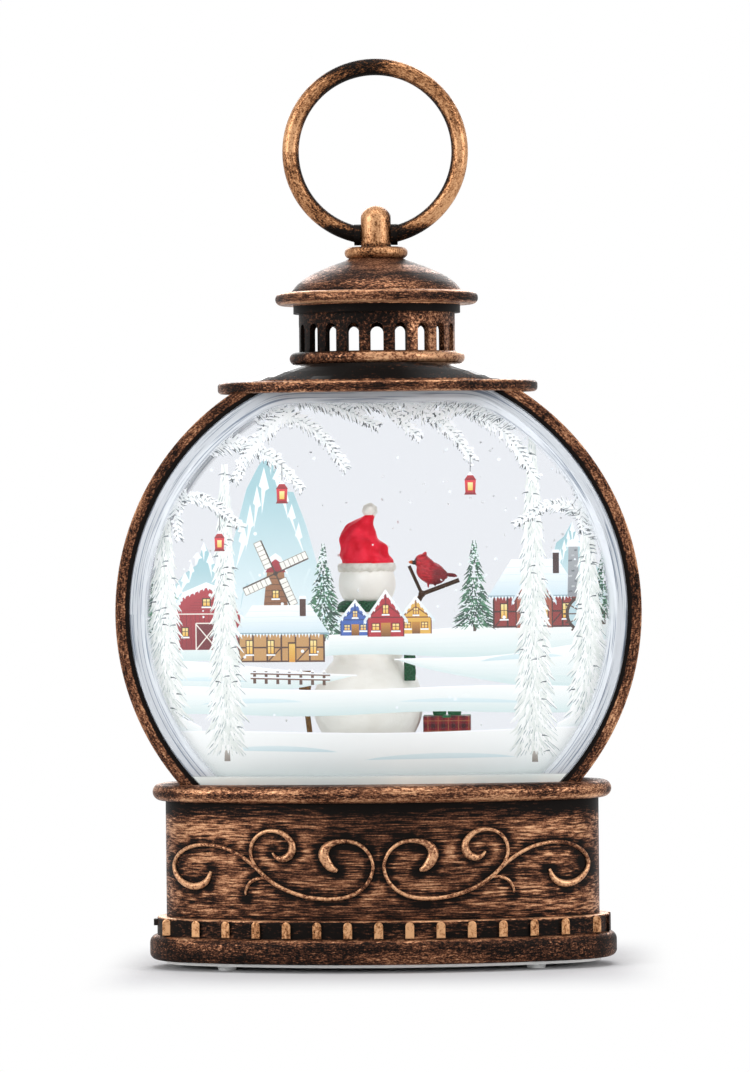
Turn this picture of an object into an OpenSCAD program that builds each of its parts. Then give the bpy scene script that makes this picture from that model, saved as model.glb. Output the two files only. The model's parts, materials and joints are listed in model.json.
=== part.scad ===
/* [Base] */
// Width of the base across the plinth
base_w = 137.6; // [133:0.2:142]
// Depth of the base across the plinth
base_d = 71; // [70:0.2:75]
// Height of the plain wall between the pegged band and the flange
wall_h = 34.1; // [33:0.1:45]
// Number of pegs along the front of the band
front_pegs = 15; // [9:2:15]
// Height of the foot pads
foot_h = 1.4; // [1:0.1:3]
/* [Globe] */
// Height of the globe's window centre above the base
globe_rise = 50.1; // [49.6:0.1:50.6]
// How far the windows bulge out
window_sag = 12; // [10:0.5:13]
/* [Top] */
// Width of the oval brim on the globe
brim_w = 94.2; // [92:0.2:98]
// Number of arched openings round the gallery
arches = 20; // [16:2:22]
// Width of each arched opening
arch_w = 3.8; // [3:0.1:4.2]
// Height of the gallery wall
gallery_h = 12.1; // [11:0.1:20]
// Outer diameter of the carrying ring
ring_d = 54.8; // [50:0.2:60]
// Thickness of the carrying ring
ring_t = 4.9; // [4.4:0.1:5.2]
/* [Fits] */
// Running clearance round pins and shafts
run_gap = 0.06; // [0.04:0.01:0.1]
// Clearance between parts that are pushed together
slip_gap = 0.15; // [0.1:0.01:0.2]
/* [Hidden] */
$fn = 96;
eps = 0.01;
end_r = 24;
blend = 0.06;
oval_base = oval4(base_w / 2, base_d / 2, end_r);
cover_t = 3;
door_t = 1.5;
plinth_h = 7.4;
band_h = 5.3;
deck_t = 5;
seat_drop = 1.5;
cover_z = foot_h;
plinth_z = cover_z + 1;
cover_top = cover_z + cover_t;
band_z = plinth_z + plinth_h;
shell_z = band_z + band_h;
deck_z = shell_z + wall_h;
deck_top = deck_z + deck_t;
seat_z = deck_top - seat_drop;
globe_z = deck_top + globe_rise;
tank_r = 73.9;
tank_wall = 4;
hoop_slack = 0.3;
hoop_wall = 2.9;
hoop_y = 14.5;
lip_t = 1.6;
lip_over = 0.9;
bore_r = tank_r - tank_wall;
band_r = tank_r + hoop_slack;
hoop_r = band_r + hoop_wall;
lip_r = tank_r - lip_over;
ring_y = 10.2;
gasket_t = 0.6;
edge_t = 2;
dome_r = lip_r - 0.4;
floor_t = 3;
glass_t = 2.4;
top_drop = 8.2;
top_cut = tank_r - top_drop;
tank_top = globe_z + top_cut;
sag_r = (dome_r * dome_r + window_sag * window_sag) / (2 * window_sag);
dome_y = hoop_y + window_sag - sag_r;
film_t = 0.3;
brim_z = tank_top - 1.3;
brim_h = 3.3;
foot_tongue_x = sqrt(pow(band_r, 2) - pow(globe_z - seat_z, 2)) + 0.28;
top_tongue_x = sqrt(pow(band_r, 2) - pow(brim_z - globe_z, 2)) + 1.15;
tongue_t = 2.2;
oval_brim = oval4(brim_w / 2, 28.6, 22);
flare_z = brim_z + brim_h;
gallery_z = flare_z + 5.1;
bead_h = 3.6;
wall_z = gallery_z + 2.9;
roof_z = wall_z + gallery_h;
gallery_r = 23;
gallery_t = 1.65;
gallery_turn = 2.2;
roof_r = 29.9;
dome_z = roof_z + 16.2;
pivot_z = dome_z + 7;
post_r = 4.7;
post_x = 4.35;
post_top = dome_z + 15.6;
pin_r = 1.25;
pin_reach = 6.2;
pad_r = 3.1;
pad_t = 1.9;
tube_r = ring_t / 2;
ring_r = ring_d / 2 - tube_r;
ring_z = pivot_z + ring_r - 0.45;
wall_t = 2.5;
post_at = [base_w / 2 - 19.8, 10.5];
foot_at = [base_w / 2 - 23.6, 15.2];
ctrl_post = [24.8 - base_w / 2, 6.5];
screw_r = 1.2;
pilot_r = 1.3;
cell_r = 7.1;
cell_l = 49.3;
nub_l = 1.2;
cell_pitch = 14.3;
cell_z = cover_top + 6.1;
box_in = [54, 43.4];
box_wall = 1.2;
skirt_in = 8.6;
box_top = cell_z + cell_r + 1.9;
door_size = [68, 48];
door_boss_x = 31.5;
switch_half = 3.8;
switch_travel = 4;
switch_z = band_z + 3.3;
switch_y = 6.2;
switch_x = 0.3 - oval_base[0] - sqrt(pow(end_r - skirt_in, 2) - switch_y * switch_y);
knob_w = 3;
lens = [39.8, 13.4];
lens_t = 1.5;
led_x = 27;
led_post_y = 14.5;
led_z = deck_z - 5.2;
board_t = 1.2;
mount_y = 17;
mount_z = deck_z - 8.2;
disc_z = deck_z - 2.6;
magnet_h = 1.6;
ctrl_at = [-34, 0];
ctrl_z = mount_z - 12;
floor_top = seat_z + floor_t;
mound_r = 160;
mound_rise = 10.8;
mound_top = floor_top + mound_rise - 0.5;
fig_x = -3.7;
hip = [11, 16.2];
chest = [31, 11.8];
head = [46.5, 8.5];
trim_z = head[0] + 4.8;
chamber_r = 15;
chamber_h = 6.6;
spin_r = 1;
imp_r = 11;
plug_r = 5;
liquid_gap = 0.6;
neck_z = 38.5;

function oval4(a, b, rc) = let (xe = a - rc, sr = (xe * xe + b * b - rc * rc) / (2 * (b - rc)))
  [xe, rc, sr, sr - b, atan2(sr - b, xe)];
function oval_y(o, g, x) = let (xt = o[0] + (o[1] + g) * cos(o[4]))
  abs(x) < xt ? sqrt(pow(o[2] + g, 2) - x * x) - o[3] : sqrt(pow(o[1] + g, 2) - pow(abs(x) - o[0], 2));
function oval_turn(o, g, x) = let (xt = o[0] + (o[1] + g) * cos(o[4]))
  abs(x) < xt ? asin(abs(x) / (o[2] + g)) : asin((abs(x) - o[0]) / (o[1] + g));

module oval2(o, g, n = 256) {
  intersection() {
    translate([0, -o[3]]) circle(o[2] + g, $fn = n);
    translate([0, o[3]]) circle(o[2] + g, $fn = n);
    square([2 * (o[0] + (o[1] + g) * cos(o[4])), 4 * o[1] + 60], center = true);
  }
  for (s = [-1, 1]) translate([s * o[0], 0]) circle(o[1] + g + blend, $fn = n / 2);
}

module edge_profile(rr, h, rb, rt) {
  square([rr - rb, h - rt]);
  translate([0, rb]) square([rr - rt, h - rb]);
  if (h > rb + rt + eps) translate([0, rb]) square([rr, h - rb - rt]);
  if (rb > 0) translate([rr - rb, rb]) circle(rb);
  if (rt > 0) translate([rr - rt, h - rt]) circle(rt);
}

module slab(o, g, z, h, rb, rt) {
  tx = o[0] + (o[1] + g) * cos(o[4]);
  translate([0, 0, z]) {
    intersection() {
      translate([0, -o[3], 0]) rotate_extrude($fn = 360) edge_profile(o[2] + g, h, rb, rt);
      translate([0, o[3], 0]) rotate_extrude($fn = 360) edge_profile(o[2] + g, h, rb, rt);
      translate([-tx, -base_d, -1]) cube([2 * tx, 2 * base_d, h + 2]);
    }
    for (s = [-1, 1]) translate([s * o[0], 0, 0]) rotate_extrude() edge_profile(o[1] + g + blend, h, rb, rt);
  }
}

module flat_oval(o, g, z, h) {
  translate([0, 0, z]) linear_extrude(h) oval2(o, g);
}

module rod(a, b, r) {
  d = b - a;
  l = norm(d);
  translate(a) rotate([0, acos(d[2] / l), atan2(d[1], d[0])]) cylinder(r = r, h = l);
}

module block(x0, x1, y0, y1, z0, z1) {
  translate([x0, y0, z0]) cube([x1 - x0, y1 - y0, z1 - z0]);
}

module four(at) {
  for (sx = [-1, 1]) for (sy = [-1, 1]) translate([sx * at[0], sy * at[1], 0]) children();
}

module feet() {
  color("white") four(foot_at) cylinder(r1 = 2.6, r2 = 3, h = foot_h);
}

module bottom_cover() {
  color("white") difference() {
    union() {
      flat_oval(oval_base, -4.5, cover_z, cover_t);
      for (s = [-1, 1]) translate([s * door_boss_x, 0, cover_z + door_t]) cylinder(r = 2.8, h = 7);
    }
    block(-box_in[0] / 2, box_in[0] / 2, -box_in[1] / 2, box_in[1] / 2, cover_z - 1, cover_top + 1);
    block(-door_size[0] / 2 - 0.2, door_size[0] / 2 + 0.2, -door_size[1] / 2 - 0.2, door_size[1] / 2 + 0.2,
      cover_z - 1, cover_z + door_t + 0.05);
    for (s = [-1, 1]) translate([s * door_boss_x, 0, cover_z]) cylinder(r = pilot_r, h = 7);
    four(post_at) {
      translate([0, 0, cover_z - 1]) cylinder(r = 1.5, h = cover_t + 2);
      translate([0, 0, cover_z - 1]) cylinder(r = 2.6, h = 2.2);
    }
  }
}

module screw(head_r, head_h, l) {
  difference() {
    union() {
      cylinder(r = head_r, h = head_h);
      cylinder(r = screw_r, h = l);
    }
    for (a = [0, 90]) rotate([0, 0, a]) translate([-head_r * 0.6, -0.25, -1]) cube([head_r * 1.2, 0.5, 1.5]);
  }
}

module cover_screws() {
  color("silver") four(post_at) translate([0, 0, cover_z + 0.1]) screw(2.4, 1.1, 11);
}

module battery_door() {
  color("white") difference() {
    block(-door_size[0] / 2, door_size[0] / 2, -door_size[1] / 2, door_size[1] / 2,
      cover_z, cover_z + door_t);
    for (s = [-1, 1]) translate([s * door_boss_x, 0, cover_z - 1]) {
      cylinder(r = screw_r, h = 4);
      cylinder(r = 2.1, h = 1.8);
    }
    for (i = [-3:3]) block(-12, 12, i * 3 - 0.4, i * 3 + 0.4, cover_z - 1, cover_z + 0.4);
  }
}

module door_screws() {
  color("silver") for (s = [-1, 1]) translate([s * door_boss_x, 0, cover_z + 0.1]) screw(2, 0.7, 6);
}

module plinth() {
  color("#3a2a22") difference() {
    slab(oval_base, 0, plinth_z, plinth_h, 2, 2.5);
    flat_oval(oval_base, -7, plinth_z - 1, plinth_h + 2);
    flat_oval(oval_base, -4.35, plinth_z - 1, cover_top - plinth_z + 1);
  }
}

module peg() {
  translate([-0.975, -1.2, 0]) cube([1.95, 2, 4]);
  translate([0, -1.2, 4]) rotate([-90, 0, 0]) cylinder(r = 0.975, h = 2, $fn = 32);
}

module switch_slot() {
  block(-base_w, -40, -switch_half, switch_half, switch_z - 0.9, switch_z + 1.4);
}

module dentil_band() {
  peg_step = (base_w - 11.6) / (front_pegs - 1);
  color("#6b4a30") difference() {
    union() {
      slab(oval_base, -2.2, band_z, band_h, 0, 0.8);
      for (i = [0:front_pegs - 1]) for (m = [0, 1]) {
        x = (i - (front_pegs - 1) / 2) * peg_step;
        mirror([0, m, 0]) translate([x, oval_y(oval_base, -2.2, x), band_z + 0.1])
          rotate([0, 0, -sign(x) * oval_turn(oval_base, -2.2, x)]) peg();
      }
      for (a = [-12, 12]) translate([oval_base[0], 0, band_z + 0.1]) rotate([0, 0, a - 90])
        translate([0, end_r - 2.2, 0]) peg();
    }
    flat_oval(oval_base, -7, band_z - 1, band_h + 2);
    switch_slot();
  }
}

module base_shell() {
  color("#4a3327") difference() {
    union() {
      flat_oval(oval_base, -5, shell_z, wall_h);
      flat_oval(oval_base, -7.1, cover_top + 0.2, shell_z - cover_top + 1);
    }
    flat_oval(oval_base, -5 - wall_t, shell_z + 3, wall_h);
    flat_oval(oval_base, -skirt_in, cover_z, shell_z + 3);
    switch_slot();
  }
}

module globe_seat(h, e) {
  linear_extrude(h) {
    square([2 * (sqrt(hoop_r * hoop_r - globe_rise * globe_rise) + e), 2 * (hoop_y + e)], center = true);
    intersection() {
      rr = sqrt(sag_r * sag_r - globe_rise * globe_rise) + e;
      translate([0, dome_y]) circle(rr, $fn = 256);
      translate([0, -dome_y]) circle(rr, $fn = 256);
      square([2 * (sqrt(dome_r * dome_r - pow(globe_z - seat_z, 2)) + 0.5), 60], center = true);
    }
  }
}

module base_deck() {
  color("#3a2a22") difference() {
    union() {
      slab(oval_base, -1.2, deck_z, deck_t, 2.5, 2.5);
      difference() {
        flat_oval(oval_base, -5 - wall_t - slip_gap, deck_z - 3, 3.5);
        flat_oval(oval_base, -9.6, deck_z - 4, 4);
      }
      four(post_at) translate([0, 0, cover_top]) cylinder(r = 3.2, h = deck_z - cover_top + 1);
      four([led_x, led_post_y]) translate([0, 0, led_z + board_t]) cylinder(r = 2.3, h = deck_z - led_z);
      for (s = [-1, 1]) translate([0, s * mount_y, mount_z + 2]) cylinder(r = 3, h = deck_z - mount_z);
      for (s = [-1, 1]) translate([ctrl_post[0], s * ctrl_post[1], ctrl_z + board_t])
        cylinder(r = 2, h = deck_z - ctrl_z);
    }
    translate([0, 0, seat_z]) globe_seat(5, 0.2);
    block(-lens[0] + 1.8, lens[0] - 1.8, -lens[1] + 1.4, lens[1] - 1.4, deck_z - 5, deck_top);
    block(-lens[0] - 0.2, lens[0] + 0.2, -lens[1] - 0.2, lens[1] + 0.2, seat_z - lens_t, deck_top);
    for (s = [-1, 1]) translate([s * (foot_tongue_x + tongue_t / 2), 0, deck_z])
      cube([tongue_t + 0.4, 12.4, 20], center = true);
    four(post_at) translate([0, 0, cover_z]) cylinder(r = pilot_r, h = 13);
    four([led_x, led_post_y]) translate([0, 0, led_z]) cylinder(r = 0.85, h = 4.4);
    for (s = [-1, 1]) translate([0, s * mount_y, mount_z]) cylinder(r = 1.1, h = 7);
    for (s = [-1, 1]) translate([ctrl_post[0], s * ctrl_post[1], ctrl_z]) cylinder(r = 0.85, h = 6);
  }
}

module light_window() {
  color("#f4f4ee") block(-lens[0], lens[0], -lens[1], lens[1], seat_z - lens_t, seat_z);
}

module led_boards() {
  color("#2f7d4f") for (s = [-1, 1]) difference() {
    block(s * led_x - 11, s * led_x + 11, -17, 17, led_z, led_z + board_t);
    for (t = [-1, 1]) translate([s * led_x, t * led_post_y, led_z - 1]) cylinder(r = 0.95, h = 4);
  }
}

module leds() {
  color("#fff4c8") for (s = [-1, 1]) for (y = [-7, 0, 7]) translate([s * led_x, y, led_z + board_t]) {
    cylinder(r = 2.9, h = 1);
    cylinder(r = 2.5, h = 3.2);
    translate([0, 0, 3.2]) sphere(2.5);
  }
}

module board_screws() {
  color("silver") {
    four([led_x, led_post_y]) translate([0, 0, led_z - 0.8]) {
      cylinder(r = 1.6, h = 0.8);
      cylinder(r = 0.8, h = 4.6);
    }
    for (s = [-1, 1]) translate([ctrl_post[0], s * ctrl_post[1], ctrl_z - 0.8]) {
      cylinder(r = 1.6, h = 0.8);
      cylinder(r = 0.8, h = 5.6);
    }
  }
}

module motor_mount() {
  color("#b9bcc0") difference() {
    block(-8.5, 8.5, -20.5, 20.5, mount_z, mount_z + 2);
    translate([0, 0, mount_z - 1]) cylinder(r = 3.1, h = 4);
    for (s = [-1, 1]) translate([0, s * mount_y, mount_z - 1]) cylinder(r = 1.3, h = 4);
  }
}

module mount_screws() {
  color("silver") for (s = [-1, 1]) translate([0, s * mount_y, mount_z - 1]) {
    cylinder(r = 2.2, h = 1);
    cylinder(r = 1.05, h = 7);
  }
}

module motor() {
  color("#c8ccd0") difference() {
    union() {
      translate([0, 0, mount_z - 17]) cylinder(r = 8, h = 17);
      translate([0, 0, mount_z - 18.6]) cylinder(r = 5, h = 2);
      translate([0, 0, mount_z - 1]) cylinder(r = 3, h = 3.4);
      for (s = [-1, 1]) block(s * 6 - 0.3, s * 6 + 0.3, -1, 1, mount_z - 19.4, mount_z - 16.5);
    }
    translate([0, 0, mount_z - 15]) cylinder(r = spin_r + run_gap, h = 20);
  }
}

module motor_shaft() {
  color("silver") translate([0, 0, mount_z - 14.9]) cylinder(r = spin_r, h = disc_z + 2.2 - mount_z + 14.9);
}

module drive_disc() {
  color("#e8e8e4") difference() {
    union() {
      translate([0, 0, disc_z]) cylinder(r = 10.5, h = 2.2);
      translate([0, 0, disc_z - 2.4]) cylinder(r = 2.6, h = 2.6);
    }
    translate([0, 0, disc_z - 3]) cylinder(r = spin_r, h = 6);
  }
}

module drive_magnets() {
  color("#8c8f94") for (a = [45, 135, 225, 315]) rotate([0, 0, a]) translate([7, 0, disc_z + 2.2])
    cylinder(r = 2.5, h = magnet_h);
}

module battery_box() {
  bx = box_in[0] / 2;
  by = box_in[1] / 2;
  color("#202224") difference() {
    block(-bx - box_wall, bx + box_wall, -by - box_wall, by + box_wall, cover_top, box_top);
    block(-bx, bx, -by, by, cover_top - 1, cell_z + 2);
    difference() {
      block(-bx, bx, -by, by, cell_z + 1, cell_z + cell_r + 0.3);
      for (x = [-15, 13]) difference() {
        block(x, x + 2, -by - 1, by + 1, cell_z + 2, box_top);
        for (i = [-1, 0, 1]) translate([x - 1, i * cell_pitch, cell_z]) rotate([0, 90, 0])
          cylinder(r = cell_r + 0.1, h = 4);
      }
    }
  }
}

module batteries() {
  color("#c0392b") for (i = [-1, 0, 1])
    translate([0, i * cell_pitch, cell_z]) rotate([0, 0, i == 0 ? 180 : 0])
    translate([box_in[0] / 2 - 0.6 - nub_l - cell_l, 0, 0]) rotate([0, 90, 0]) {
      cylinder(r = cell_r, h = cell_l);
      cylinder(r = 2.7, h = cell_l + nub_l);
    }
}

module contact_plate(s, y0, y1) {
  x = box_in[0] / 2;
  block(s > 0 ? x - 0.6 : -x + 0.05, s > 0 ? x - 0.05 : -x + 0.6, y0, y1, cell_z - 5, cell_z + 5);
}

module battery_contacts() {
  color("#d8d4c0") {
    contact_plate(1, cell_pitch - 5, cell_pitch + 5);
    contact_plate(1, -cell_pitch - 5, 5);
    contact_plate(-1, -cell_pitch - 5, -cell_pitch + 5);
    contact_plate(-1, -5, cell_pitch + 5);
  }
}

module contact_springs() {
  x0 = box_in[0] / 2 - 0.6;
  gap = 2 * x0 - cell_l - nub_l;
  coil = [3.6, 3.2, 2.8, 2.4];
  color("silver") for (i = [-1, 0, 1]) translate([0, i * cell_pitch, cell_z]) rotate([0, 0, i == 0 ? 180 : 0])
    translate([-x0, 0, 0]) rotate([0, 90, 0]) rotate_extrude() for (k = [0:3])
      translate([coil[k], 0.35 + k * (gap - 0.7) / 3]) circle(0.35, $fn = 24);
}

module switch_body() {
  color("#26282a") difference() {
    block(switch_x, switch_x + 5, -switch_y, switch_y, switch_z - 4.5, switch_z + 4.5);
    block(switch_x - 1, switch_x + 3, -switch_half, switch_half, switch_z - 0.9, switch_z + 1.4);
  }
}

module switch_knob() {
  color("#1c1c1e") block(-base_w / 2 + 1.3, switch_x + 2.8,
    -knob_w / 2 - switch_travel / 2, knob_w / 2 - switch_travel / 2, switch_z - 0.7, switch_z + 1.2);
}

module control_board() {
  color("#2f7d4f") difference() {
    union() {
      block(ctrl_post[0] - 1.6, -20.5, -10, 10, ctrl_z, ctrl_z + board_t);
      block(-36, -29, -4, 3, ctrl_z + board_t, ctrl_z + board_t + 1.6);
      translate([-25, 4, ctrl_z + board_t]) cylinder(r = 3, h = 7);
    }
    for (s = [-1, 1]) translate([ctrl_post[0], s * ctrl_post[1], ctrl_z - 1]) cylinder(r = 0.95, h = 4);
  }
}

module y_disc(r, y0, y1) {
  translate([0, y1, globe_z]) rotate([90, 0, 0]) cylinder(r = r, h = y1 - y0, $fn = 180);
}

module flat_cut(z0, z1) {
  block(-90, 90, -40, 40, z0, z1);
}

module tank_ring() {
  color("#dfe9ee", 0.5) {
    difference() {
      intersection() {
        y_disc(tank_r, -ring_y, ring_y);
        flat_cut(seat_z, tank_top);
      }
      intersection() {
        y_disc(bore_r, -ring_y - 1, ring_y + 1);
        flat_cut(floor_top, tank_top - floor_t);
      }
      translate([0, 0, tank_top - floor_t - 1]) cylinder(r = plug_r, h = 6);
    }
    translate([0, 0, floor_top - eps]) cylinder(r = spin_r, h = 5.6);
  }
}

module window_gaskets() {
  color("#e8eef0") for (m = [0, 1]) mirror([0, m, 0]) difference() {
    intersection() {
      y_disc(tank_r - 0.6, -ring_y - gasket_t, -ring_y);
      flat_cut(seat_z + eps, tank_top - eps);
    }
    intersection() {
      y_disc(bore_r, -ring_y - 2, 0);
      flat_cut(floor_top, tank_top - floor_t);
    }
  }
}

module dome_ball(e) {
  translate([0, -dome_y, globe_z]) sphere(sag_r - e, $fn = 256);
}

module window() {
  wy = ring_y + gasket_t;
  color("#eef6fa", 0.35) difference() {
    union() {
      intersection() {
        y_disc(dome_r, -60, -wy);
        dome_ball(0);
        flat_cut(seat_z, tank_top);
      }
      intersection() {
        y_disc(tank_r - 0.6, -wy - edge_t, -wy);
        flat_cut(seat_z, tank_top);
      }
    }
    intersection() {
      y_disc(bore_r, -60, 0);
      dome_ball(glass_t);
      flat_cut(floor_top, tank_top - floor_t);
    }
  }
}

module picture_window() {
  window();
}

module clear_window() {
  mirror([0, 1, 0]) window();
}

module picture_film() {
  color("#b8d8dc", 0.6) difference() {
    intersection() {
      y_disc(bore_r - 0.4, -60, -ring_y);
      dome_ball(glass_t);
      flat_cut(floor_top + 0.2, tank_top - floor_t - 0.2);
    }
    dome_ball(glass_t + film_t);
    y_disc(bore_r - 3, -ring_y - 1, 0);
  }
}

module cavity(e) {
  intersection() {
    y_disc(bore_r - e, -60, 60);
    dome_ball(glass_t + e);
    mirror([0, 1, 0]) dome_ball(glass_t + e);
    flat_cut(floor_top, tank_top - floor_t);
  }
}

module mound_form(e) {
  intersection() {
    translate([fig_x, 0, floor_top + mound_rise - mound_r]) sphere(mound_r + e, $fn = 256);
    flat_cut(floor_top - 1, mound_top + e);
  }
}

module snow_mound() {
  color("#f4f8fb") difference() {
    intersection() {
      cavity(0.5);
      mound_form(0);
    }
    translate([0, 0, floor_top - 1]) cylinder(r = chamber_r, h = chamber_h + 1);
    for (s = [-1, 1]) translate([0, s * 15, floor_top + 8]) cube([14, 3, 13], center = true);
    gift_form(0.05);
    broom_form(0.05);
  }
}

module arm_rods(e) {
  rod([7.2, 0, mound_top + 33.5], [12.5, -1.2, mound_top + 43.3], 0.8 + e);
  rod([12.5, -1.2, mound_top + 43.3], [23.5, -1.2, mound_top + 47.3], 0.65 + e);
  rod([12.5, -1.2, mound_top + 43.3], [8.8, -1.2, mound_top + 51.6], 0.5 + e);
  translate([12.5, -1.2, mound_top + 43.3]) sphere(1.05 + e);
  rod([-14.4, 0, mound_top + 32.5], [-22, 0, mound_top + 36.5], 0.8 + e);
  rod([-22, 0, mound_top + 36.5], [-27, 0, mound_top + 42], 0.55 + e);
  rod([-22, 0, mound_top + 36.5], [-27.5, -1, mound_top + 35.5], 0.5 + e);
  translate([-22, 0, mound_top + 36.5]) sphere(1.05 + e);
}

module balls(e) {
  for (b = [hip, chest, head]) translate([fig_x, 0, mound_top + b[0]]) sphere(b[1] + e);
}

module scarf_ring(e) {
  translate([fig_x, 0, mound_top + neck_z + 0.7]) rotate_extrude() translate([6.6, 0]) circle(2.3 + e);
}

module coals(e) {
  for (z = [26, 31, 36]) translate([fig_x, 11.8 * cos(z * 5 - 155), mound_top + z]) sphere(1.1 + e, $fn = 32);
  for (s = [-1, 1]) translate([fig_x + s * 2.8, 7.8, mound_top + 48.6]) sphere(0.95 + e, $fn = 32);
  for (s = [-2:2]) translate([fig_x + s * 1.7, 7.7, mound_top + 42.9 + abs(s) * 0.5])
    sphere(0.55 + e, $fn = 32);
}

module nose_form(e) {
  translate([fig_x, head[1] - 1.1, mound_top + head[0] - 0.5]) rotate([-90, 0, 0])
    cylinder(r1 = 1.4 + e, r2 = 0.3 + e, h = 8.5 + e);
}

module snowman_body() {
  color("white") difference() {
    intersection() {
      balls(0);
      block(-40, 40, -30, 30, mound_top, mound_top + 70);
    }
    scarf_ring(0);
    coals(0);
    nose_form(0);
    arm_rods(0);
  }
}

module snowman_face() {
  color("#202020") coals(0);
}

module carrot_nose() {
  color("#e67e22") nose_form(0);
}

module snowman_arms() {
  color("#4b3525") arm_rods(0);
}

module tail_form(e) {
  rod([fig_x + 4.6, -4.6, mound_top + neck_z], [9, -9.4, mound_top + 33.5], 1.7 + e);
  block(7.3 - e, 10.7 + e, -10.4 - e, -8.6 + e, mound_top + 18 - e, mound_top + 34 + e);
  translate([9, -9.4, mound_top + 33.5]) sphere(2 + e);
}

module snowman_scarf() {
  color("#2f8f5b") {
    scarf_ring(0);
    difference() {
      tail_form(0);
      balls(0.05);
    }
  }
}

module trim_form(e) {
  translate([fig_x, 0, mound_top + trim_z]) rotate_extrude() {
    translate([0, -1.25 - e]) square([7.4, 2.5 + 2 * e]);
    translate([7.4, 0]) circle(1.25 + e);
  }
}

module hat_form(e) {
  translate([fig_x, 0, mound_top + trim_z + 1.25 - e]) cylinder(r1 = 7.2 + e, r2 = 1.6 + e, h = 14 + 2 * e);
  translate([fig_x + 0.9, 0, mound_top + trim_z + 15]) sphere(1.8 + e);
}

module pompom(e) {
  translate([fig_x + 1, 0, mound_top + trim_z + 16.7]) sphere(2.2 + e);
}

module snowman_hat() {
  color("#c22f2f") difference() {
    hat_form(0);
    balls(0);
    pompom(0);
  }
}

module hat_trim() {
  color("white") {
    difference() {
      trim_form(0);
      balls(0);
    }
    pompom(0);
  }
}

module bird_form(e) {
  translate([15.2, -1.2, mound_top + 49.6]) sphere(3.8 + e);
  translate([12.6, -1.7, mound_top + 53.4]) sphere(2.6 + e);
  rod([15.2, -1.2, mound_top + 49.6], [22.8, -1.2, mound_top + 49.7], 1.5 + e);
  translate([12.6, -1.7, mound_top + 53.4]) rotate([0, -95, 0])
    cylinder(r1 = 1.1 + e, r2 = 0.2 + e, h = 4.4 + e);
  translate([14.4, -1.2, mound_top + 44.95]) cylinder(r = 0.4 + e, h = 2.4);
  translate([16.4, -1.2, mound_top + 45.65]) cylinder(r = 0.4 + e, h = 1.65);
}

module bird() {
  color("#b92c2c") bird_form(0);
}

module gift_form(e) {
  block(12.6 - e, 26.4 + e, -5 - e, 7 + e, mound_top - 4 - e, mound_top + 7.4 + e);
}

module gift_box() {
  color("#b92c2c") difference() {
    gift_form(0);
    ribbon_form(0);
  }
}

module ribbon_form(e) {
  block(18.3 - e, 20.7 + e, -5.02 - e, 7.02 + e, mound_top + 6.9, mound_top + 7.6 + e);
  block(12.58 - e, 26.42 + e, -0.2 - e, 2.2 + e, mound_top + 6.9, mound_top + 7.6 + e);
  for (s = [-1, 1]) translate([19.5 + s * 2.2, 1, mound_top + 8.4]) rotate([90, 0, 0])
    translate([0, 0, -1]) cylinder(r = 2 + e, h = 2 + e);
}

module gift_ribbon() {
  color("#2f8f5b") ribbon_form(0);
}

module broom_form(e) {
  rod([-20, -3, mound_top - 5], [-22.4, -3, mound_top + 16], 0.8 + e);
  translate([-22.2, -3, mound_top + 13.5 - e]) cylinder(r1 = 1.4 + e, r2 = 2.6 + e, h = 7.5 + 2 * e);
}

module broom() {
  color("#4b3525") broom_form(0);
}

module liquid() {
  color("#e6f4f8", 0.15) difference() {
    cavity(1);
    translate([fig_x, 0, floor_top + mound_rise - mound_r]) sphere(mound_r + liquid_gap, $fn = 256);
    translate([fig_x, 0, mound_top - 5]) cylinder(r = 18.6, h = 43);
    block(fig_x - 2.4, fig_x + 2.4, 0, 17, mound_top + 43.4, mound_top + 48.6);
    translate([fig_x, 0, mound_top]) cylinder(r = 12.9, h = 60);
    translate([fig_x, 0, mound_top]) cylinder(r = 6.5, h = 71.5);
    block(0, 25.5, -6.5, 4.5, mound_top + 30, mound_top + 57);
    block(-29, 0, -3, 3, mound_top + 30, mound_top + 44);
    block(11, 27, -6.4, 8.4, mound_top - 6, mound_top + 11.6);
    block(-26, -18, -7, 1, mound_top - 6, mound_top + 22);
    translate([0, 0, tank_top - floor_t - 1]) cylinder(r = plug_r + 2, h = 6);
  }
}

module fill_plug() {
  color("#e8e8e4") {
    translate([0, 0, tank_top - floor_t]) cylinder(r = plug_r - 0.5, h = 4);
    translate([0, 0, tank_top + 0.8]) cylinder(r = 8, h = 1.4);
  }
}

module plug_seal() {
  color("#303234") translate([0, 0, tank_top]) difference() {
    cylinder(r = 7.2, h = 0.8);
    translate([0, 0, -1]) cylinder(r = plug_r - 0.5, h = 3);
  }
}

module impeller() {
  color("#e8e8e4") difference() {
    union() {
      translate([0, 0, floor_top + 0.05]) cylinder(r = 2.6, h = 5.5);
      translate([0, 0, floor_top + 0.6]) cylinder(r = imp_r, h = 1);
      for (a = [0, 45, 90, 135]) rotate([0, 0, a]) for (s = [-1, 1])
        block(s > 0 ? 6.1 : -imp_r, s > 0 ? imp_r : -6.1, -0.4, 0.4, floor_top + 1.5, floor_top + 5.2);
    }
    translate([0, 0, floor_top - 1]) cylinder(r = spin_r + run_gap, h = 8);
  }
}

module impeller_magnet() {
  color("#5a5d62") translate([0, 0, floor_top + 1.6]) difference() {
    cylinder(r = 6, h = 2.4);
    translate([0, 0, -1]) cylinder(r = 2.6, h = 5);
  }
}

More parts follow.
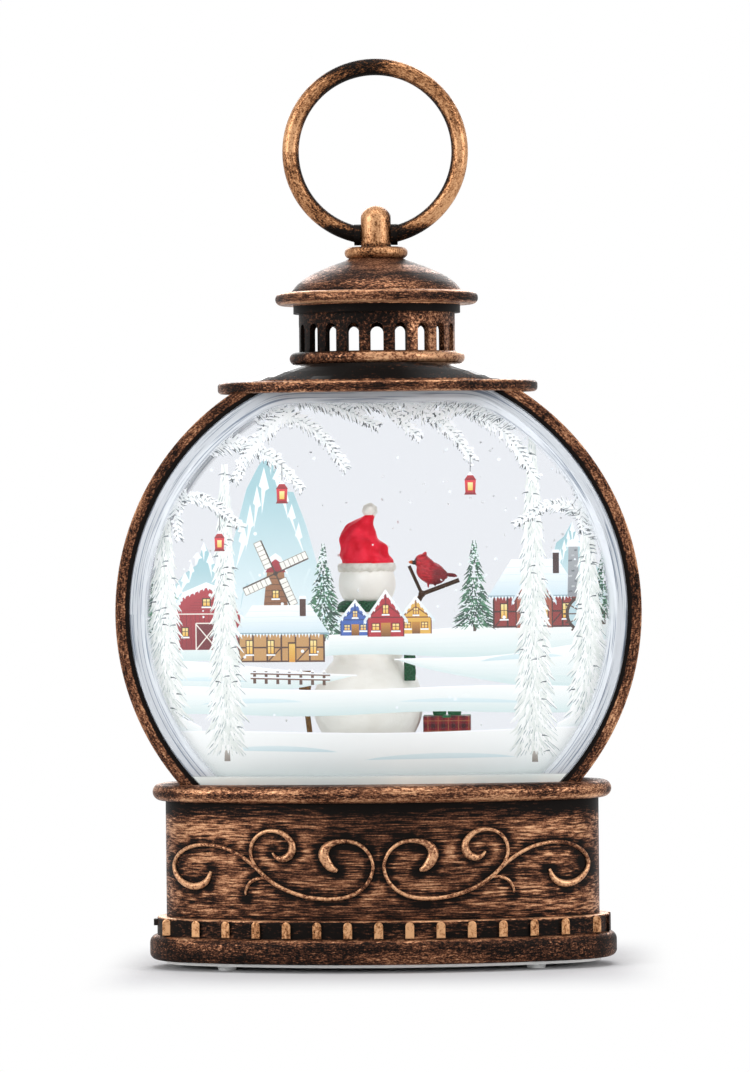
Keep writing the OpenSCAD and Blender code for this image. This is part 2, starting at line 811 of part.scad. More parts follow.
module hoop_profile() {
  polygon([
    [lip_r, -hoop_y], [hoop_r - 0.9, -hoop_y], [hoop_r, -hoop_y + 0.9], [hoop_r, hoop_y - 0.9],
    [hoop_r - 0.9, hoop_y], [lip_r, hoop_y], [lip_r, hoop_y - lip_t], [band_r, hoop_y - lip_t],
    [band_r, -hoop_y + lip_t], [lip_r, -hoop_y + lip_t]
  ]);
}

module hoop() {
  intersection() {
    translate([0, 0, globe_z]) rotate([90, 0, 0]) rotate_extrude($fn = 180) hoop_profile();
    block(0, 90, -40, 40, seat_z, brim_z);
  }
  block(foot_tongue_x, foot_tongue_x + tongue_t, -6, 6, deck_z, seat_z + 0.5);
  block(top_tongue_x, top_tongue_x + 2, -5, 5, brim_z - 0.5, brim_z + 2.3);
}

module hoop_right() {
  color("#2c211d") hoop();
}

module hoop_left() {
  color("#2c211d") mirror([1, 0, 0]) hoop();
}

module flare_layer(a, b, rc, z) {
  translate([0, 0, flare_z + z]) linear_extrude(eps) oval2(oval4(a, b, rc), 0, 96);
}

module shoulder_cap() {
  color("#4a3327") difference() {
    union() {
      slab(oval_brim, 0, brim_z, brim_h, 1.2, 1.2);
      hull() {
        flare_layer(39, 27.6, 22, -0.05);
        flare_layer(36.5, 27.35, 23, 1.35);
      }
      hull() {
        flare_layer(36.5, 27.35, 23, 1.3);
        flare_layer(33, 26.95, 24, 2.9);
      }
      hull() {
        flare_layer(33, 26.95, 24, 2.85);
        flare_layer(29.5, 26.5, 25, 4.1);
      }
      hull() {
        flare_layer(29.5, 26.5, 25, 4.05);
        flare_layer(26.4, 25.9, 25.5, 5.1 - eps);
      }
    }
    block(-36.7, 36.7, -17.7, 17.7, brim_z - 1, tank_top);
    translate([0, 0, tank_top - 1]) cylinder(r = 10.5, h = 6);
    translate([0, 0, gallery_z - 3.1]) cylinder(r = 12 + slip_gap, h = 4);
    for (m = [0, 1]) mirror([m, 0, 0])
      block(top_tongue_x - 0.2, top_tongue_x + 2.2, -5.2, 5.2, brim_z - 1, brim_z + 2.5);
  }
}

module gallery() {
  arch_z = roof_z - 3.2 - arch_w / 2;
  color("#3a2a22") rotate([0, 0, gallery_turn + 180 / arches]) {
    difference() {
      union() {
        translate([0, 0, gallery_z]) rotate_extrude() edge_profile(25.8, bead_h, 1.8, 1.8);
        translate([0, 0, gallery_z - 3]) cylinder(r = 12, h = 4);
      }
      translate([0, 0, wall_z]) cylinder(r = gallery_r - gallery_t, h = 10);
    }
    difference() {
      translate([0, 0, wall_z - 0.5]) cylinder(r = gallery_r, h = gallery_h + 0.5);
      translate([0, 0, wall_z - 1]) cylinder(r = gallery_r - gallery_t, h = gallery_h + 2);
      for (i = [0:arches - 1]) rotate([0, 0, (i + 0.5) * 360 / arches]) {
        block(gallery_r - 3, gallery_r + 2, -arch_w / 2, arch_w / 2, gallery_z + bead_h, arch_z);
        translate([gallery_r - 3, 0, arch_z]) rotate([0, 90, 0]) cylinder(r = arch_w / 2, h = 5);
      }
    }
  }
}

module roof() {
  color("#4a3327") difference() {
    translate([0, 0, roof_z]) rotate_extrude() {
      polygon([
        [0, 0], [24.6, 0], [24.6, 2.6], [28, 2.6], [28, 6.1], [25.2, 6.1], [24.7, 7], [24.1, 7.8],
        [23.3, 8.7], [22.2, 9.6], [20.9, 10.5], [19.4, 11.4], [17.7, 12.25], [15.8, 13.1], [13.7, 13.95],
        [11.4, 14.8], [9.1, 15.6], [7.9, 16.2], [0, 16.2]
      ]);
      translate([28.05, 4.35]) circle(1.85);
      translate([0, -1.8]) square([gallery_r - gallery_t - slip_gap, 2]);
    }
    translate([0, 0, roof_z]) rotate_extrude() polygon([
      [0, -2], [19.4, -2], [19.4, 6.6], [17.6, 9], [14.4, 11], [10.6, 12.8], [7, 13.7], [0, 13.7]
    ]);
    translate([0, 0, roof_z]) cylinder(r = 2, h = 30);
  }
}

module finial() {
  color("#4a3327") difference() {
    union() {
      translate([0, 0, dome_z]) rotate_extrude() edge_profile(9.3, 3.3, 1.6, 1.6);
      intersection() {
        union() {
          translate([0, 0, dome_z + 3]) cylinder(r = post_r, h = post_top - dome_z - 3 - post_r);
          translate([0, 0, post_top - post_r]) sphere(post_r);
        }
        block(-post_x, post_x, -10, 10, dome_z, post_top + 1);
      }
      translate([0, 0, dome_z - 7]) cylinder(r = 1.9, h = 8);
    }
    translate([-10, 0, pivot_z]) rotate([0, 90, 0]) cylinder(r = pin_r, h = 20);
  }
}

module finial_nut() {
  color("silver") translate([0, 0, roof_z + 11.1]) difference() {
    cylinder(r = 3.6, h = 2.6, $fn = 6);
    translate([0, 0, -1]) cylinder(r = 1.95, h = 5);
  }
}

module pivot_pin() {
  color("silver") translate([-pin_reach, 0, pivot_z]) rotate([0, 90, 0])
    cylinder(r = pin_r, h = 2 * pin_reach);
}

module handle_ring() {
  pad_x = post_x + 0.12;
  color("#6b4a30") difference() {
    union() {
      difference() {
        translate([0, 0, ring_z]) rotate([90, 0, 0]) rotate_extrude() translate([ring_r, 0]) circle(tube_r);
        block(-pad_x - 1, pad_x + 1, -10, 10, pivot_z - 10, pivot_z + 10);
      }
      for (s = [-1, 1]) translate([s > 0 ? pad_x : -pad_x - pad_t, 0, pivot_z]) rotate([0, 90, 0])
        cylinder(r = pad_r, h = pad_t);
    }
    translate([-pin_reach - 0.1, 0, pivot_z]) rotate([0, 90, 0])
      cylinder(r = pin_r + run_gap, h = 2 * pin_reach + 0.2);
  }
}

feet();
bottom_cover();
cover_screws();
battery_door();
door_screws();
plinth();
dentil_band();
base_shell();
base_deck();
light_window();
led_boards();
leds();
board_screws();
motor_mount();
mount_screws();
motor();
motor_shaft();
drive_disc();
drive_magnets();
battery_box();
batteries();
battery_contacts();
contact_springs();
switch_body();
switch_knob();
control_board();
tank_ring();
window_gaskets();
picture_window();
clear_window();
picture_film();
snow_mound();
snowman_body();
snowman_face();
carrot_nose();
snowman_arms();
snowman_scarf();
snowman_hat();
hat_trim();
bird();
gift_box();
gift_ribbon();
broom();
liquid();
fill_plug();
plug_seal();
impeller();
impeller_magnet();
hoop_left();
hoop_right();
shoulder_cap();
gallery();
roof();
finial();
finial_nut();
pivot_pin();
handle_ring();
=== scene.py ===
import json
import math
import random
from contextlib import contextmanager

import bmesh
import bpy
import numpy as np
from mathutils import Matrix, Vector
from mathutils.bvhtree import BVHTree
from mathutils.geometry import delaunay_2d_cdt

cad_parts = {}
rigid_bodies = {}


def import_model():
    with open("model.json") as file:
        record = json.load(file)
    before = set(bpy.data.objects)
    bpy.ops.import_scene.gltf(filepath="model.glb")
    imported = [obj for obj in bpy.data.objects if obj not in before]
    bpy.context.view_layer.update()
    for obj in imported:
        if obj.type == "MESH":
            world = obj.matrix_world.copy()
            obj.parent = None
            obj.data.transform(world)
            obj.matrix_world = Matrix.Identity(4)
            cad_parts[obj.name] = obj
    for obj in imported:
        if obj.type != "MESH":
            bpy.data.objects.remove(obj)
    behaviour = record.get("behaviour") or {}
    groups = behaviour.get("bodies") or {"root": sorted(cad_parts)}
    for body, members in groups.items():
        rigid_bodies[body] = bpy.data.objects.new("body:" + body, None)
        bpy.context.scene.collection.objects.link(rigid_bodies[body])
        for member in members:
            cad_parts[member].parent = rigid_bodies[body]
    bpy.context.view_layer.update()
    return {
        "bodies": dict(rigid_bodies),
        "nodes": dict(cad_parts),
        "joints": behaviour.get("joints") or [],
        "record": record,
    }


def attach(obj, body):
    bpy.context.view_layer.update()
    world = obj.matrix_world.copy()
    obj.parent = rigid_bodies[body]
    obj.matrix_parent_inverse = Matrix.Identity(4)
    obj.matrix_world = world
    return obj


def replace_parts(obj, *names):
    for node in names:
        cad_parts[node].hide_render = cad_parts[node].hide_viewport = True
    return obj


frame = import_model()
NODES = frame["nodes"]

MM = 0.001
WELD = 1e-6              # metres within which points are one

# Heights, radii and places of the CAD's parts, in millimetres.
SHELL_LOW, SHELL_TOP = 15.1, 49.2              # the plain wall of the base
PLINTH_EDGE, BAND_EDGE, FLANGE_EDGE = 9.4, 15.0, 50.0
PEGS, PEG_PITCH = 15, 9.0                      # on each long side of the band
PEG_FOOT, PEG_Z = 9.9, 12.2                    # the foot of a peg, and a height on its face
GLOBE_Z, HOOP_R, WINDOW_R = 104.3, 75.0, 72.0
BARREL_Y = 199.1                               # centre of each bulged window, behind the other one
PRINT_R = 223.1                                # inside face of the picture window
SHEET_R, SHEET_FOOT, SHEET_TOP = 69.4, -48.4, 62.5        # the film, its heights from the globe's centre
BORE_R, DOME_R, LIQUID_TOP = 68.9, 222.2, 167.0           # what holds the liquid: ring, windows and roof
MOUND_X, MOUND_Z, MOUND_R = -3.7, -93.5, 160.6            # the ball that the ground's top is part of
BRIM_EDGES, BRIM_TOP = (168.9, 171.7), 172.2
SILL_TOP, EAVES, ROOF_EDGES = 180.6, 194.6, (194.9, 198.0)
BEAD_Z, COLLAR_Z = 211.2, 212.8                # of the finial
RING_Z, RING_R, RING_FOOT = 239.8, 25.0, 219.5
POST_R = 25.0                                  # where marks round the upright axis keep their size

# ---------------------------------------------------------------- camera and image points

PHOTO_W, PHOTO_H = 750, 1072
LONG = max(PHOTO_W, PHOTO_H)
LENS, SENSOR = 205.0, 36.0
CAMERA_TURN = 2.2        # degrees towards +X
CAMERA_AWAY = 1.8        # metres, like the next two
CAMERA_Z = 0.1356
CAMERA_AIM = (-0.0012, 0.0, 0.1265)
CAMERA_ROLL = 0.6        # degrees

# name: (x, y, which end of the shown vertices, nodes or pieces)
IMAGE_POINTS = {
    "ring_top": (None, 58, "top", ["handle_ring"]),
    "ring_left": (281.5, None, "left", ["handle_ring"]),
    "ring_right": (469, None, "right", ["handle_ring"]),
    "roof_left": (274, 298, "left", ["roof"]),
    "roof_right": (477, 297, "right", ["roof"]),
    "brim_left": (217, 387, "left", ["shoulder_cap"]),
    "brim_right": (537, 384, "right", ["shoulder_cap"]),
    "globe_left": (116, None, "left", ["hoop_left"]),
    "globe_right": (643, None, "right", ["hoop_right"]),
    "flange_left": (153, 791, "left", ["base_deck"]),
    "flange_right": (612, 789, "right", ["base_deck"]),
    "plinth_left": (150, 946, "left", ["plinth"]),
    "plinth_right": (617.5, 944, "right", ["plinth"]),
    "foot_left": (225, 968, "bottom", ["feet"]),
    "scroll_left": (272, 866, "middle", ["front_scroll"]),
}


def linked(name, data):
    """A new object in the scene."""
    made = bpy.data.objects.new(name, data)
    bpy.context.scene.collection.objects.link(made)
    return made


def set_camera():
    data = bpy.data.cameras.new("camera")
    data.sensor_fit = "AUTO"
    data.sensor_width = SENSOR
    data.lens = LENS
    data.clip_start, data.clip_end = 0.1, 20
    camera = linked("camera", data)
    turn = math.radians(CAMERA_TURN)
    place = Vector((CAMERA_AWAY * math.sin(turn), -CAMERA_AWAY * math.cos(turn), CAMERA_Z))
    look = (Vector(CAMERA_AIM) - place).to_track_quat("-Z", "Y").to_matrix()
    roll = Matrix.Rotation(math.radians(-CAMERA_ROLL), 3, "Z")
    camera.matrix_world = Matrix.Translation(place) @ (look @ roll).to_4x4()
    bpy.context.scene.camera = camera
    bpy.context.view_layer.update()
    return camera


camera = set_camera()


def on_photo(point):
    """Where a point in metres shows on the photograph, in pixels."""
    p = camera.matrix_world.inverted() @ Vector(point)
    reach = LONG * LENS / SENSOR
    return PHOTO_W / 2 + reach * p.x / -p.z, PHOTO_H / 2 - reach * p.y / -p.z


def solids(*nodes):
    """The corners and faces of some CAD nodes as one list each."""
    points, faces = [], []
    for node in nodes:
        first, data = len(points), NODES[node].data
        points += [v.co.copy() for v in data.vertices]
        faces += [[first + i for i in p.vertices] for p in data.polygons]
    return points, faces


# ---------------------------------------------------------------- finishes

def paint(code):
    """A colour written as on a paint card, as the shader wants it."""
    parts = [int(code[i:i + 2], 16) / 255 for i in (0, 2, 4)]
    return tuple(c / 12.92 if c <= 0.04045 else ((c + 0.055) / 1.055) ** 2.4 for c in parts) + (1.0,)


def arithmetic(operation, swapped=False):
    def made(self, other):
        return self.tree.maths(operation, *((other, self) if swapped else (self, other)))
    return made


class Flow:
    """One socket of a node tree; Python arithmetic on it adds the Math nodes."""

    def __init__(self, tree, socket):
        self.tree, self.socket = tree, socket

    def __abs__(self):
        return self.tree.maths("ABSOLUTE", self)

    __add__, __radd__ = arithmetic("ADD"), arithmetic("ADD", True)
    __sub__, __rsub__ = arithmetic("SUBTRACT"), arithmetic("SUBTRACT", True)
    __mul__, __rmul__ = arithmetic("MULTIPLY"), arithmetic("MULTIPLY", True)
    __truediv__, __pow__ = arithmetic("DIVIDE"), arithmetic("POWER")


class Tree:
    """A node tree that is written as plain calls."""

    def __init__(self, tree):
        self.tree = tree
        self.tree.nodes.clear()

    def node(self, kind, settings=None, sockets=None, out=0):
        """Adds a node; a colour may be given as its code, and out says which output or outputs come back."""
        made = self.tree.nodes.new(kind)
        for key, value in (settings or {}).items():
            setattr(made, key, value)
        for key, value in (sockets or {}).items():
            if isinstance(value, Flow):
                self.tree.links.new(value.socket, made.inputs[key])
            else:
                coded = isinstance(value, str) and made.inputs[key].type == "RGBA"
                made.inputs[key].default_value = paint(value) if coded else value
        if out is None:
            return None
        if isinstance(out, tuple):
            return tuple(Flow(self, made.outputs[o]) for o in out)
        return Flow(self, made.outputs[out])

    def maths(self, operation, *values):
        return self.node("ShaderNodeMath", {"operation": operation}, dict(enumerate(values)))

    def least(self, a, b):
        return self.maths("MINIMUM", a, b)

    def most(self, a, b):
        return self.maths("MAXIMUM", a, b)

    def shown(self):
        """1 for rays that show the backdrop: the camera's own, and those through or off a shiny thing."""
        seen = self.node("ShaderNodeLightPath", out=("Is Camera Ray", "Is Glossy Ray", "Is Transmission Ray"))
        return self.most(self.most(seen[0], seen[1]), seen[2])


class Finish(Tree):
    """A procedural material on the piece's own millimetres."""

    def __init__(self, name):
        self.material = bpy.data.materials.new(name)
        self.material.use_nodes = True
        super().__init__(self.material.node_tree)
        metres = self.node("ShaderNodeTexCoord", out="Object")
        self.at = self.node("ShaderNodeVectorMath", {"operation": "SCALE"}, {0: metres, "Scale": 1000.0})
        self.x, self.y, self.z = self.node("ShaderNodeSeparateXYZ", None, {0: self.at}, out=(0, 1, 2))

    def step(self, value, low, high):
        """0 below low, 1 above high, smooth in between; high may be the lower one."""
        return self.node("ShaderNodeMapRange", {"interpolation_type": "SMOOTHSTEP"},
                         {0: value, 1: low, 2: high, 3: 0.0, 4: 1.0})

    def band(self, value, low, high, soft=0.3):
        return self.step(value, low - soft, low + soft) * self.step(value, high + soft, high - soft)

    def vector(self, x, y, z):
        return self.node("ShaderNodeCombineXYZ", None, {0: x, 1: y, 2: z})

    def grain(self, size, at=None, stretch=(1.0, 1.0, 1.0), detail=4.0, rough=0.55):
        """Noise with marks of about size millimetres, stretched by the three factors."""
        scale = tuple(1.0 / (size * s) for s in stretch)
        where = self.node("ShaderNodeVectorMath", {"operation": "MULTIPLY"}, {0: at or self.at, 1: scale})
        return self.node("ShaderNodeTexNoise", None, {"Vector": where, "Scale": 1.0, "Detail": detail,
                                                      "Roughness": rough})

    def blend(self, share, a, b):
        return self.node("ShaderNodeMix", {"data_type": "RGBA"}, {0: share, 6: a, 7: b}, out=2)

    def around(self, radius, centre_z):
        """Millimetres along and from the centre of a circle that stands in the XZ plane."""
        up = self.z - centre_z
        return self.maths("ARCTAN2", up, self.x) * radius, (self.x * self.x + up * up) ** 0.5

    def surface(self, colour, roughness=0.5, metallic=0.0, bump=None, depth=0.1, coat=0.0, coat_rough=0.1,
                specular=0.5, through=None, glow=None):
        glow = glow or ("000000", 0.0)
        sockets = {"Emission Color": glow[0], "Emission Strength": glow[1], "Base Color": colour,
                   "Roughness": roughness, "Metallic": metallic, "Coat Weight": coat,
                   "Coat Roughness": coat_rough, "Specular IOR Level": specular}
        if bump is not None:
            sockets["Normal"] = self.node("ShaderNodeBump", None, {"Strength": 0.6, "Distance": depth * MM,
                                                                   "Height": bump})
        shader = self.node("ShaderNodeBsdfPrincipled", None, sockets)
        if through is not None:
            clear = self.node("ShaderNodeBsdfTransparent", None, {0: through[1]})
            shader = self.node("ShaderNodeMixShader", None, {0: through[0], 1: clear, 2: shader})
        self.end(shader)
        return self.material

    def end(self, shader):
        self.node("ShaderNodeOutputMaterial", None, {"Surface": shader}, out=None)


SOOT, UMBER, COPPER, GOLD = "0e0a08", "44291d", "8c5d43", "d2a27b"


def antique(name, along=None, mark=0.55, stretch=(4.0, 1.0, 1.0), amount=0.5, lift=None, dark=None,
            tones=(SOOT, UMBER, COPPER, GOLD), rough=0.42, speck=0.35, coat=None):
    """Dry-brushed antique copper: dark paint, brown marks in it and bright ones where it is rubbed.
    along is where the marks run, lift makes it brighter, on rubbed edges and as painted highlight, and dark
    makes it darker, as paint left in hollows and as painted shade, both from 0 to 1."""
    f = Finish(name)
    at, lift, dark = (along(f) if along else f.at), (lift(f) if lift else 0.0), (dark(f) if dark else 0.0)
    cloud = f.grain(mark * 14, at, stretch, detail=3)
    marks = f.grain(mark, at, stretch, detail=5, rough=0.65)
    dots = f.grain(0.36, f.at, (1.8, 1.0, 1.0), detail=2, rough=0.6)
    rub = (marks - 0.5) * (1.6 - 1.3 * speck) + (dots - 0.5) * speck + (cloud - 0.5) * 0.7
    rub = rub + (0.25 + amount * 0.5) + lift * 0.30 - dark * 0.34
    soot, umber, copper, gold = tones
    colour = f.blend(f.step(rub, 0.33, 0.50), soot, umber)
    colour = f.blend(f.step(rub, 0.45, 0.63), colour, copper)
    colour = f.blend(f.step(rub, 0.56, 0.78), colour, gold)
    shine = f.step(rub, 0.42, 0.66)
    return f.surface(colour, rough + 0.10 - shine * 0.14, 0.10 + shine * 0.60, bump=rub, depth=0.06,
                     coat=coat(f) if coat else 0.0, coat_rough=0.16, specular=0.06)


# The scroll of the base, right half: millimetres from the middle and up, and half width of the line.
SWEEP = [
    (11.9, .1, .5), (13.6, .9, 1.1), (15.1, 2.7, 1.5), (15.9, 4.9, 1.55), (15.0, 7.0, 1.25),
    (12.8, 8.3, .85), (9.5, 8.7, .6), (6.2, 8.0, .55), (3.5, 6.0, .52), (2.0, 3.4, .5), (1.6, 1.0, .5),
    (2.3, -1.8, .52), (3.9, -4.3, .54), (6.7, -6.5, .56), (10.5, -7.8, .58), (15.2, -8.1, .6),
    (20.4, -7.6, .6), (25.0, -6.3, .6), (29.3, -4.4, .6), (33.0, -1.8, .6), (36.3, 1.3, .58),
    (40.1, 4.1, .56), (44.8, 6.4, .55), (50.2, 7.4, .55), (54.8, 6.9, .56), (58.4, 4.9, .58),
    (60.3, 2.0, .6), (60.1, -.9, .7), (58.2, -3.4, .85), (55.2, -4.8, 1.0), (52.4, -4.5, 1.05),
    (50.4, -3.0, .85), (49.3, -.4, .4)]
CURL = [
    (34.7, -.4, .45), (36.6, 2.4, .52), (37.4, 5.3, .52), (36.7, 8.5, .55), (34.3, 10.9, .55),
    (31.1, 11.7, .6), (27.8, 10.9, .75), (25.4, 8.5, .95), (25.1, 6.1, 1.15), (26.3, 4.2, 1.15),
    (28.3, 3.5, .9), (30.0, 4.1, .55), (30.9, 5.3, .3)]
LEAF = [(32.6, -2.2, .4), (35.5, -2.3, .5), (37.8, -3.6, .48), (39.0, -6.0, .36), (38.9, -7.0, .25)]
SCROLL_MID = 29.5


def smooth_line(line, step):
    """Points at even steps on a smooth curve through rows that end in a half width."""
    rows = np.array(line, float)
    ends = np.vstack([2 * rows[0] - rows[1], rows, 2 * rows[-1] - rows[-2]])
    fine = []
    for i in range(1, len(ends) - 2):
        a, b, c, d = ends[i - 1:i + 3]
        for t in np.linspace(0, 1, 24, endpoint=False):
            fine.append(0.5 * (2 * b + (c - a) * t + (2 * a - 5 * b + 4 * c - d) * t ** 2
                               + (3 * b - a - 3 * c + d) * t ** 3))
    fine = np.array(fine + [rows[-1]])
    run = np.concatenate([[0], np.cumsum(np.linalg.norm(np.diff(fine[:, :-1], axis=0), axis=1))])
    places = np.linspace(0, run[-1], max(3, int(run[-1] / step) + 1))
    return np.stack([np.interp(places, run, fine[:, k]) for k in range(fine.shape[1])], 1)


def scroll_wash_and_painted_shade(f):
    """Darker round the scroll, where dark paint is left beside the relief, and towards the foot of the wall,
    with painted shade under the flange and in the middle of the upper wall.
    """
    side = abs(f.x)
    here = f.vector(side, 0.0, f.z)
    near = None
    for line in (SWEEP, CURL, LEAF):
        for p in smooth_line(line, 3.6):
            gap = f.node("ShaderNodeVectorMath", {"operation": "DISTANCE"},
                         {0: here, 1: (p[0], 0.0, SCROLL_MID + p[1])}, out="Value") - p[2]
            near = gap if near is None else f.least(near, gap)
    halo = f.step(near, 3.0, 0.6) * 0.62
    # Painted shade under the flange's overhang.
    under = f.step(f.z, SHELL_TOP - 6.5, SHELL_TOP - 1.5) * 0.75
    foot = f.step(f.z, SHELL_LOW + 2.5, SHELL_LOW) * 0.4
    # Painted shade in the middle of the upper wall, where the curved wall shows no bright reflection.
    middle = f.band(f.x, -15.0, 17.0, 12.0) * f.step(f.z, 27.0, 40.0) * 0.35
    return f.most(f.most(halo, under), foot) + middle


def edges(*levels, reach=0.9):
    """Rubbed bright where the piece has an edge at these heights."""
    def lift(f):
        total = 0.0
        for z in levels:
            total = f.band(f.z, z - reach / 2, z + reach / 2, reach * 0.6) + total
        return total
    return lift


def round_globe(f):
    """Millimetres along the hoop, out from the globe's centre and across."""
    return f.vector(*f.around(HOOP_R, GLOBE_Z), f.y)


def round_post(f):
    """Millimetres round the upright axis, from it and up it."""
    out = (f.x * f.x + f.y * f.y) ** 0.5
    return f.vector(f.maths("ARCTAN2", f.y, f.x) * POST_R, out, f.z)


def round_ring(f):
    """Millimetres along the handle's ring, out from its centre and across."""
    return f.vector(*f.around(RING_R, RING_Z), f.y)


def hoop_dark(f):
    """Dark on the hoop's inner lip."""
    return f.step(f.around(HOOP_R, GLOBE_Z)[1], HOOP_R - 0.6, HOOP_R - 1.4) * 1.9


def ring_dark_and_painted_shade(f):
    """Darker at the top of the ring, with painted shade on its inner side and by its pads."""
    out = f.around(RING_R, RING_Z)[1]
    top = f.step(f.z, RING_Z + 20, RING_Z + 27) * f.step(f.x, 9.0, 0.0)
    return top + f.step(f.z, RING_FOOT, RING_FOOT - 4.0) * 1.2 + f.step(out, RING_R - 1.1, RING_R - 2.3) * 0.8


def finial_bead_and_painted_highlight(f):
    """Painted highlights on the front of the post, beside its middle line, and brighter on the bead below the
    collar.
    """
    post = f.step(f.z, COLLAR_Z - 0.6, COLLAR_Z + 0.6)
    front = f.band(abs(f.x), 0.25, 3.3, 0.5) * f.step(f.y, 0.0, -2.0) * post
    return front * 0.35 + f.step(f.z, BEAD_Z + 0.4, BEAD_Z - 0.4) * 0.35


def finial_dark(f):
    """Darker between the bead and the collar."""
    return f.step(f.z, COLLAR_Z, COLLAR_Z - 1.2) * 0.3 * f.step(f.z, BEAD_Z, BEAD_Z + 0.6)


def hoop_lift(f):
    """Rubbed brighter on the hoop's outer face."""
    return f.step(f.around(HOOP_R, GLOBE_Z)[1], HOOP_R + 1.5, HOOP_R + 1.9) * 0.3


def plain(name, colour, roughness, metallic=0.0, mark=3.0, change=0.12, depth=0.02, specular=0.5):
    """Moulded plastic, paint or plated metal, with the slight unevenness such a surface has."""
    f = Finish(name)
    cloud = f.grain(mark)
    fine = f.grain(0.35, detail=2)
    rich = tuple(c * (1 - change) for c in paint(colour)[:3]) + (1.0,)
    tone = f.blend(f.step(cloud, 0.35, 0.65), rich, colour)
    return f.surface(tone, roughness + (fine - 0.5) * 0.15, metallic, bump=fine + cloud, depth=depth,
                     specular=specular)


def clear_wall(name, tint, rim=False):
    """Clear acrylic: seen through, with a sheen at a grazing view; by the rim, a pale band and grey lines
    painted on as reflections of the rim's edge.
    """
    f = Finish(name)
    along, out = f.around(WINDOW_R, GLOBE_Z)
    out = f.maths("SMOOTH_MAX", out, f.z - GLOBE_Z + 6.2, 4.0)      # the lines turn softly under the flat top
    facing = f.node("ShaderNodeLayerWeight", None, {"Blend": 0.12}, out="Fresnel")
    share = f.least(f.most(facing - 0.03, 0.0) * 0.3 + 0.003, 0.4)
    colour = "f6f9fb"
    if rim:
        # A pale band and grey lines by the rim: painted reflections of its edge.
        wave = f.grain(1.0, f.vector(along, out, 0.0), (34.0, 0.42, 1.0), detail=2, rough=0.5)
        ring = f.step(out, 66.5, 68.5)
        lines = f.step(wave, 0.55, 0.61) * ring
        foot = f.step(f.z, 56.9, 56.4)
        share = f.most(f.most(share, foot * 0.97), f.most(lines * 0.8, ring * 0.5))
        colour = f.blend(lines, "edf2f8", "7f8998")
        colour = f.blend(foot, colour, "e6eeec")
    return f.surface(colour, 0.06, 0.0, specular=0.2, through=(share, tint))


def liquid_look():
    """All but clear, with the faintest streaks."""
    f = Finish("clear liquid")
    streaks = f.grain(20.0)
    return f.surface("f3f9fa", 0.05, through=(streaks * 0.002, "ffffff"))


def snow_look(name, tone, shade, mark=1.4, glow=0.0):
    """Snow or fur: soft marks with a fine grain, and a glow of its own: painted light that brightens it."""
    f = Finish(name)
    soft, fine = f.grain(mark * 6), f.grain(mark * 0.35, detail=3, rough=0.7)
    colour = f.blend(f.step(soft, 0.3, 0.7), shade, tone)
    return f.surface(colour, 0.62, 0.0, bump=fine * 0.7 + soft, depth=0.5, coat=0.1, glow=(colour, glow))


def plaid(name, ground, bar, thread, pitch):
    """Woven checks printed on a painted piece."""
    f = Finish(name)

    def stripes(value, width):
        wave = abs(f.maths("FRACT", value / pitch) - 0.5)
        return f.step(wave, width, width - 0.06)

    cross = stripes(f.x + f.y, 0.22) * 0.5 + stripes(f.z, 0.22) * 0.5
    line = f.most(stripes(f.x + f.y + 0.5 * pitch, 0.05), stripes(f.z + 0.5 * pitch, 0.05))
    colour = f.blend(line * 0.8, f.blend(cross, ground, bar), thread)
    return f.surface(colour, 0.55, 0.0, bump=f.grain(0.3), depth=0.05)


def knit(name, ground, shade):
    """Coloured ribs and rows of stitches."""
    f = Finish(name)
    rib = f.maths("SINE", (f.x + f.y * 0.6) * 5.2) * f.maths("SINE", f.z * 5.2)
    colour = f.blend(f.step(rib, -0.6, 0.5), shade, ground)
    return f.surface(colour, 0.7, 0.0, bump=rib, depth=0.18)


def wear(nodes, material):
    """Gives one finish to the CAD nodes named, with spaces between them."""
    for node in nodes.split():
        NODES[node].data.materials.clear()
        NODES[node].data.materials.append(material)


WIDE, LEVEL = (5.0, 2.0, 1.0), (5.0, 1.0, 1.0)        # how the brushed marks are stretched
BRASS = (SOOT, "54341f", "9c6b47", "cc9c72")

# The wall's dark mask is partly painted shade: under the flange and in the middle of the upper wall.
wear("base_shell", antique("brushed copper of the base wall", mark=0.5, stretch=(16.0, 5.0, 1.0), amount=0.53,
                           dark=scroll_wash_and_painted_shade, speck=0.3))
# The flange is rubbed bright at its edge; the band 2 to 3.2 mm above its edge is a painted highlight.
wear("base_deck", antique(
    "speckled copper of the flange", mark=0.4, stretch=WIDE, amount=0.47, speck=0.55,
    lift=lambda f: edges(FLANGE_EDGE)(f) * 0.5 + f.band(f.z - FLANGE_EDGE, 2.0, 3.2, 0.5) * 0.35))
wear("plinth", antique("speckled copper of the plinth", mark=0.4, stretch=WIDE, amount=0.30,
                       lift=lambda f: edges(PLINTH_EDGE, reach=0.7)(f) * 0.45, speck=0.6))
wear("dentil_band", antique(
    "dark copper of the pegged band", mark=0.5, stretch=WIDE, amount=0.34, lift=edges(BAND_EDGE, reach=0.4),
    dark=lambda f: f.step(f.z, BAND_EDGE - 0.3, BAND_EDGE - 0.8) * 0.35))
for side in ("hoop_left", "hoop_right"):
    wear(side, antique("copper of the globe's " + side.replace("_", " "), along=round_globe, mark=0.45,
                       stretch=(3.2, 1.0, 1.2), amount=0.48, dark=hoop_dark, lift=hoop_lift, speck=0.6))
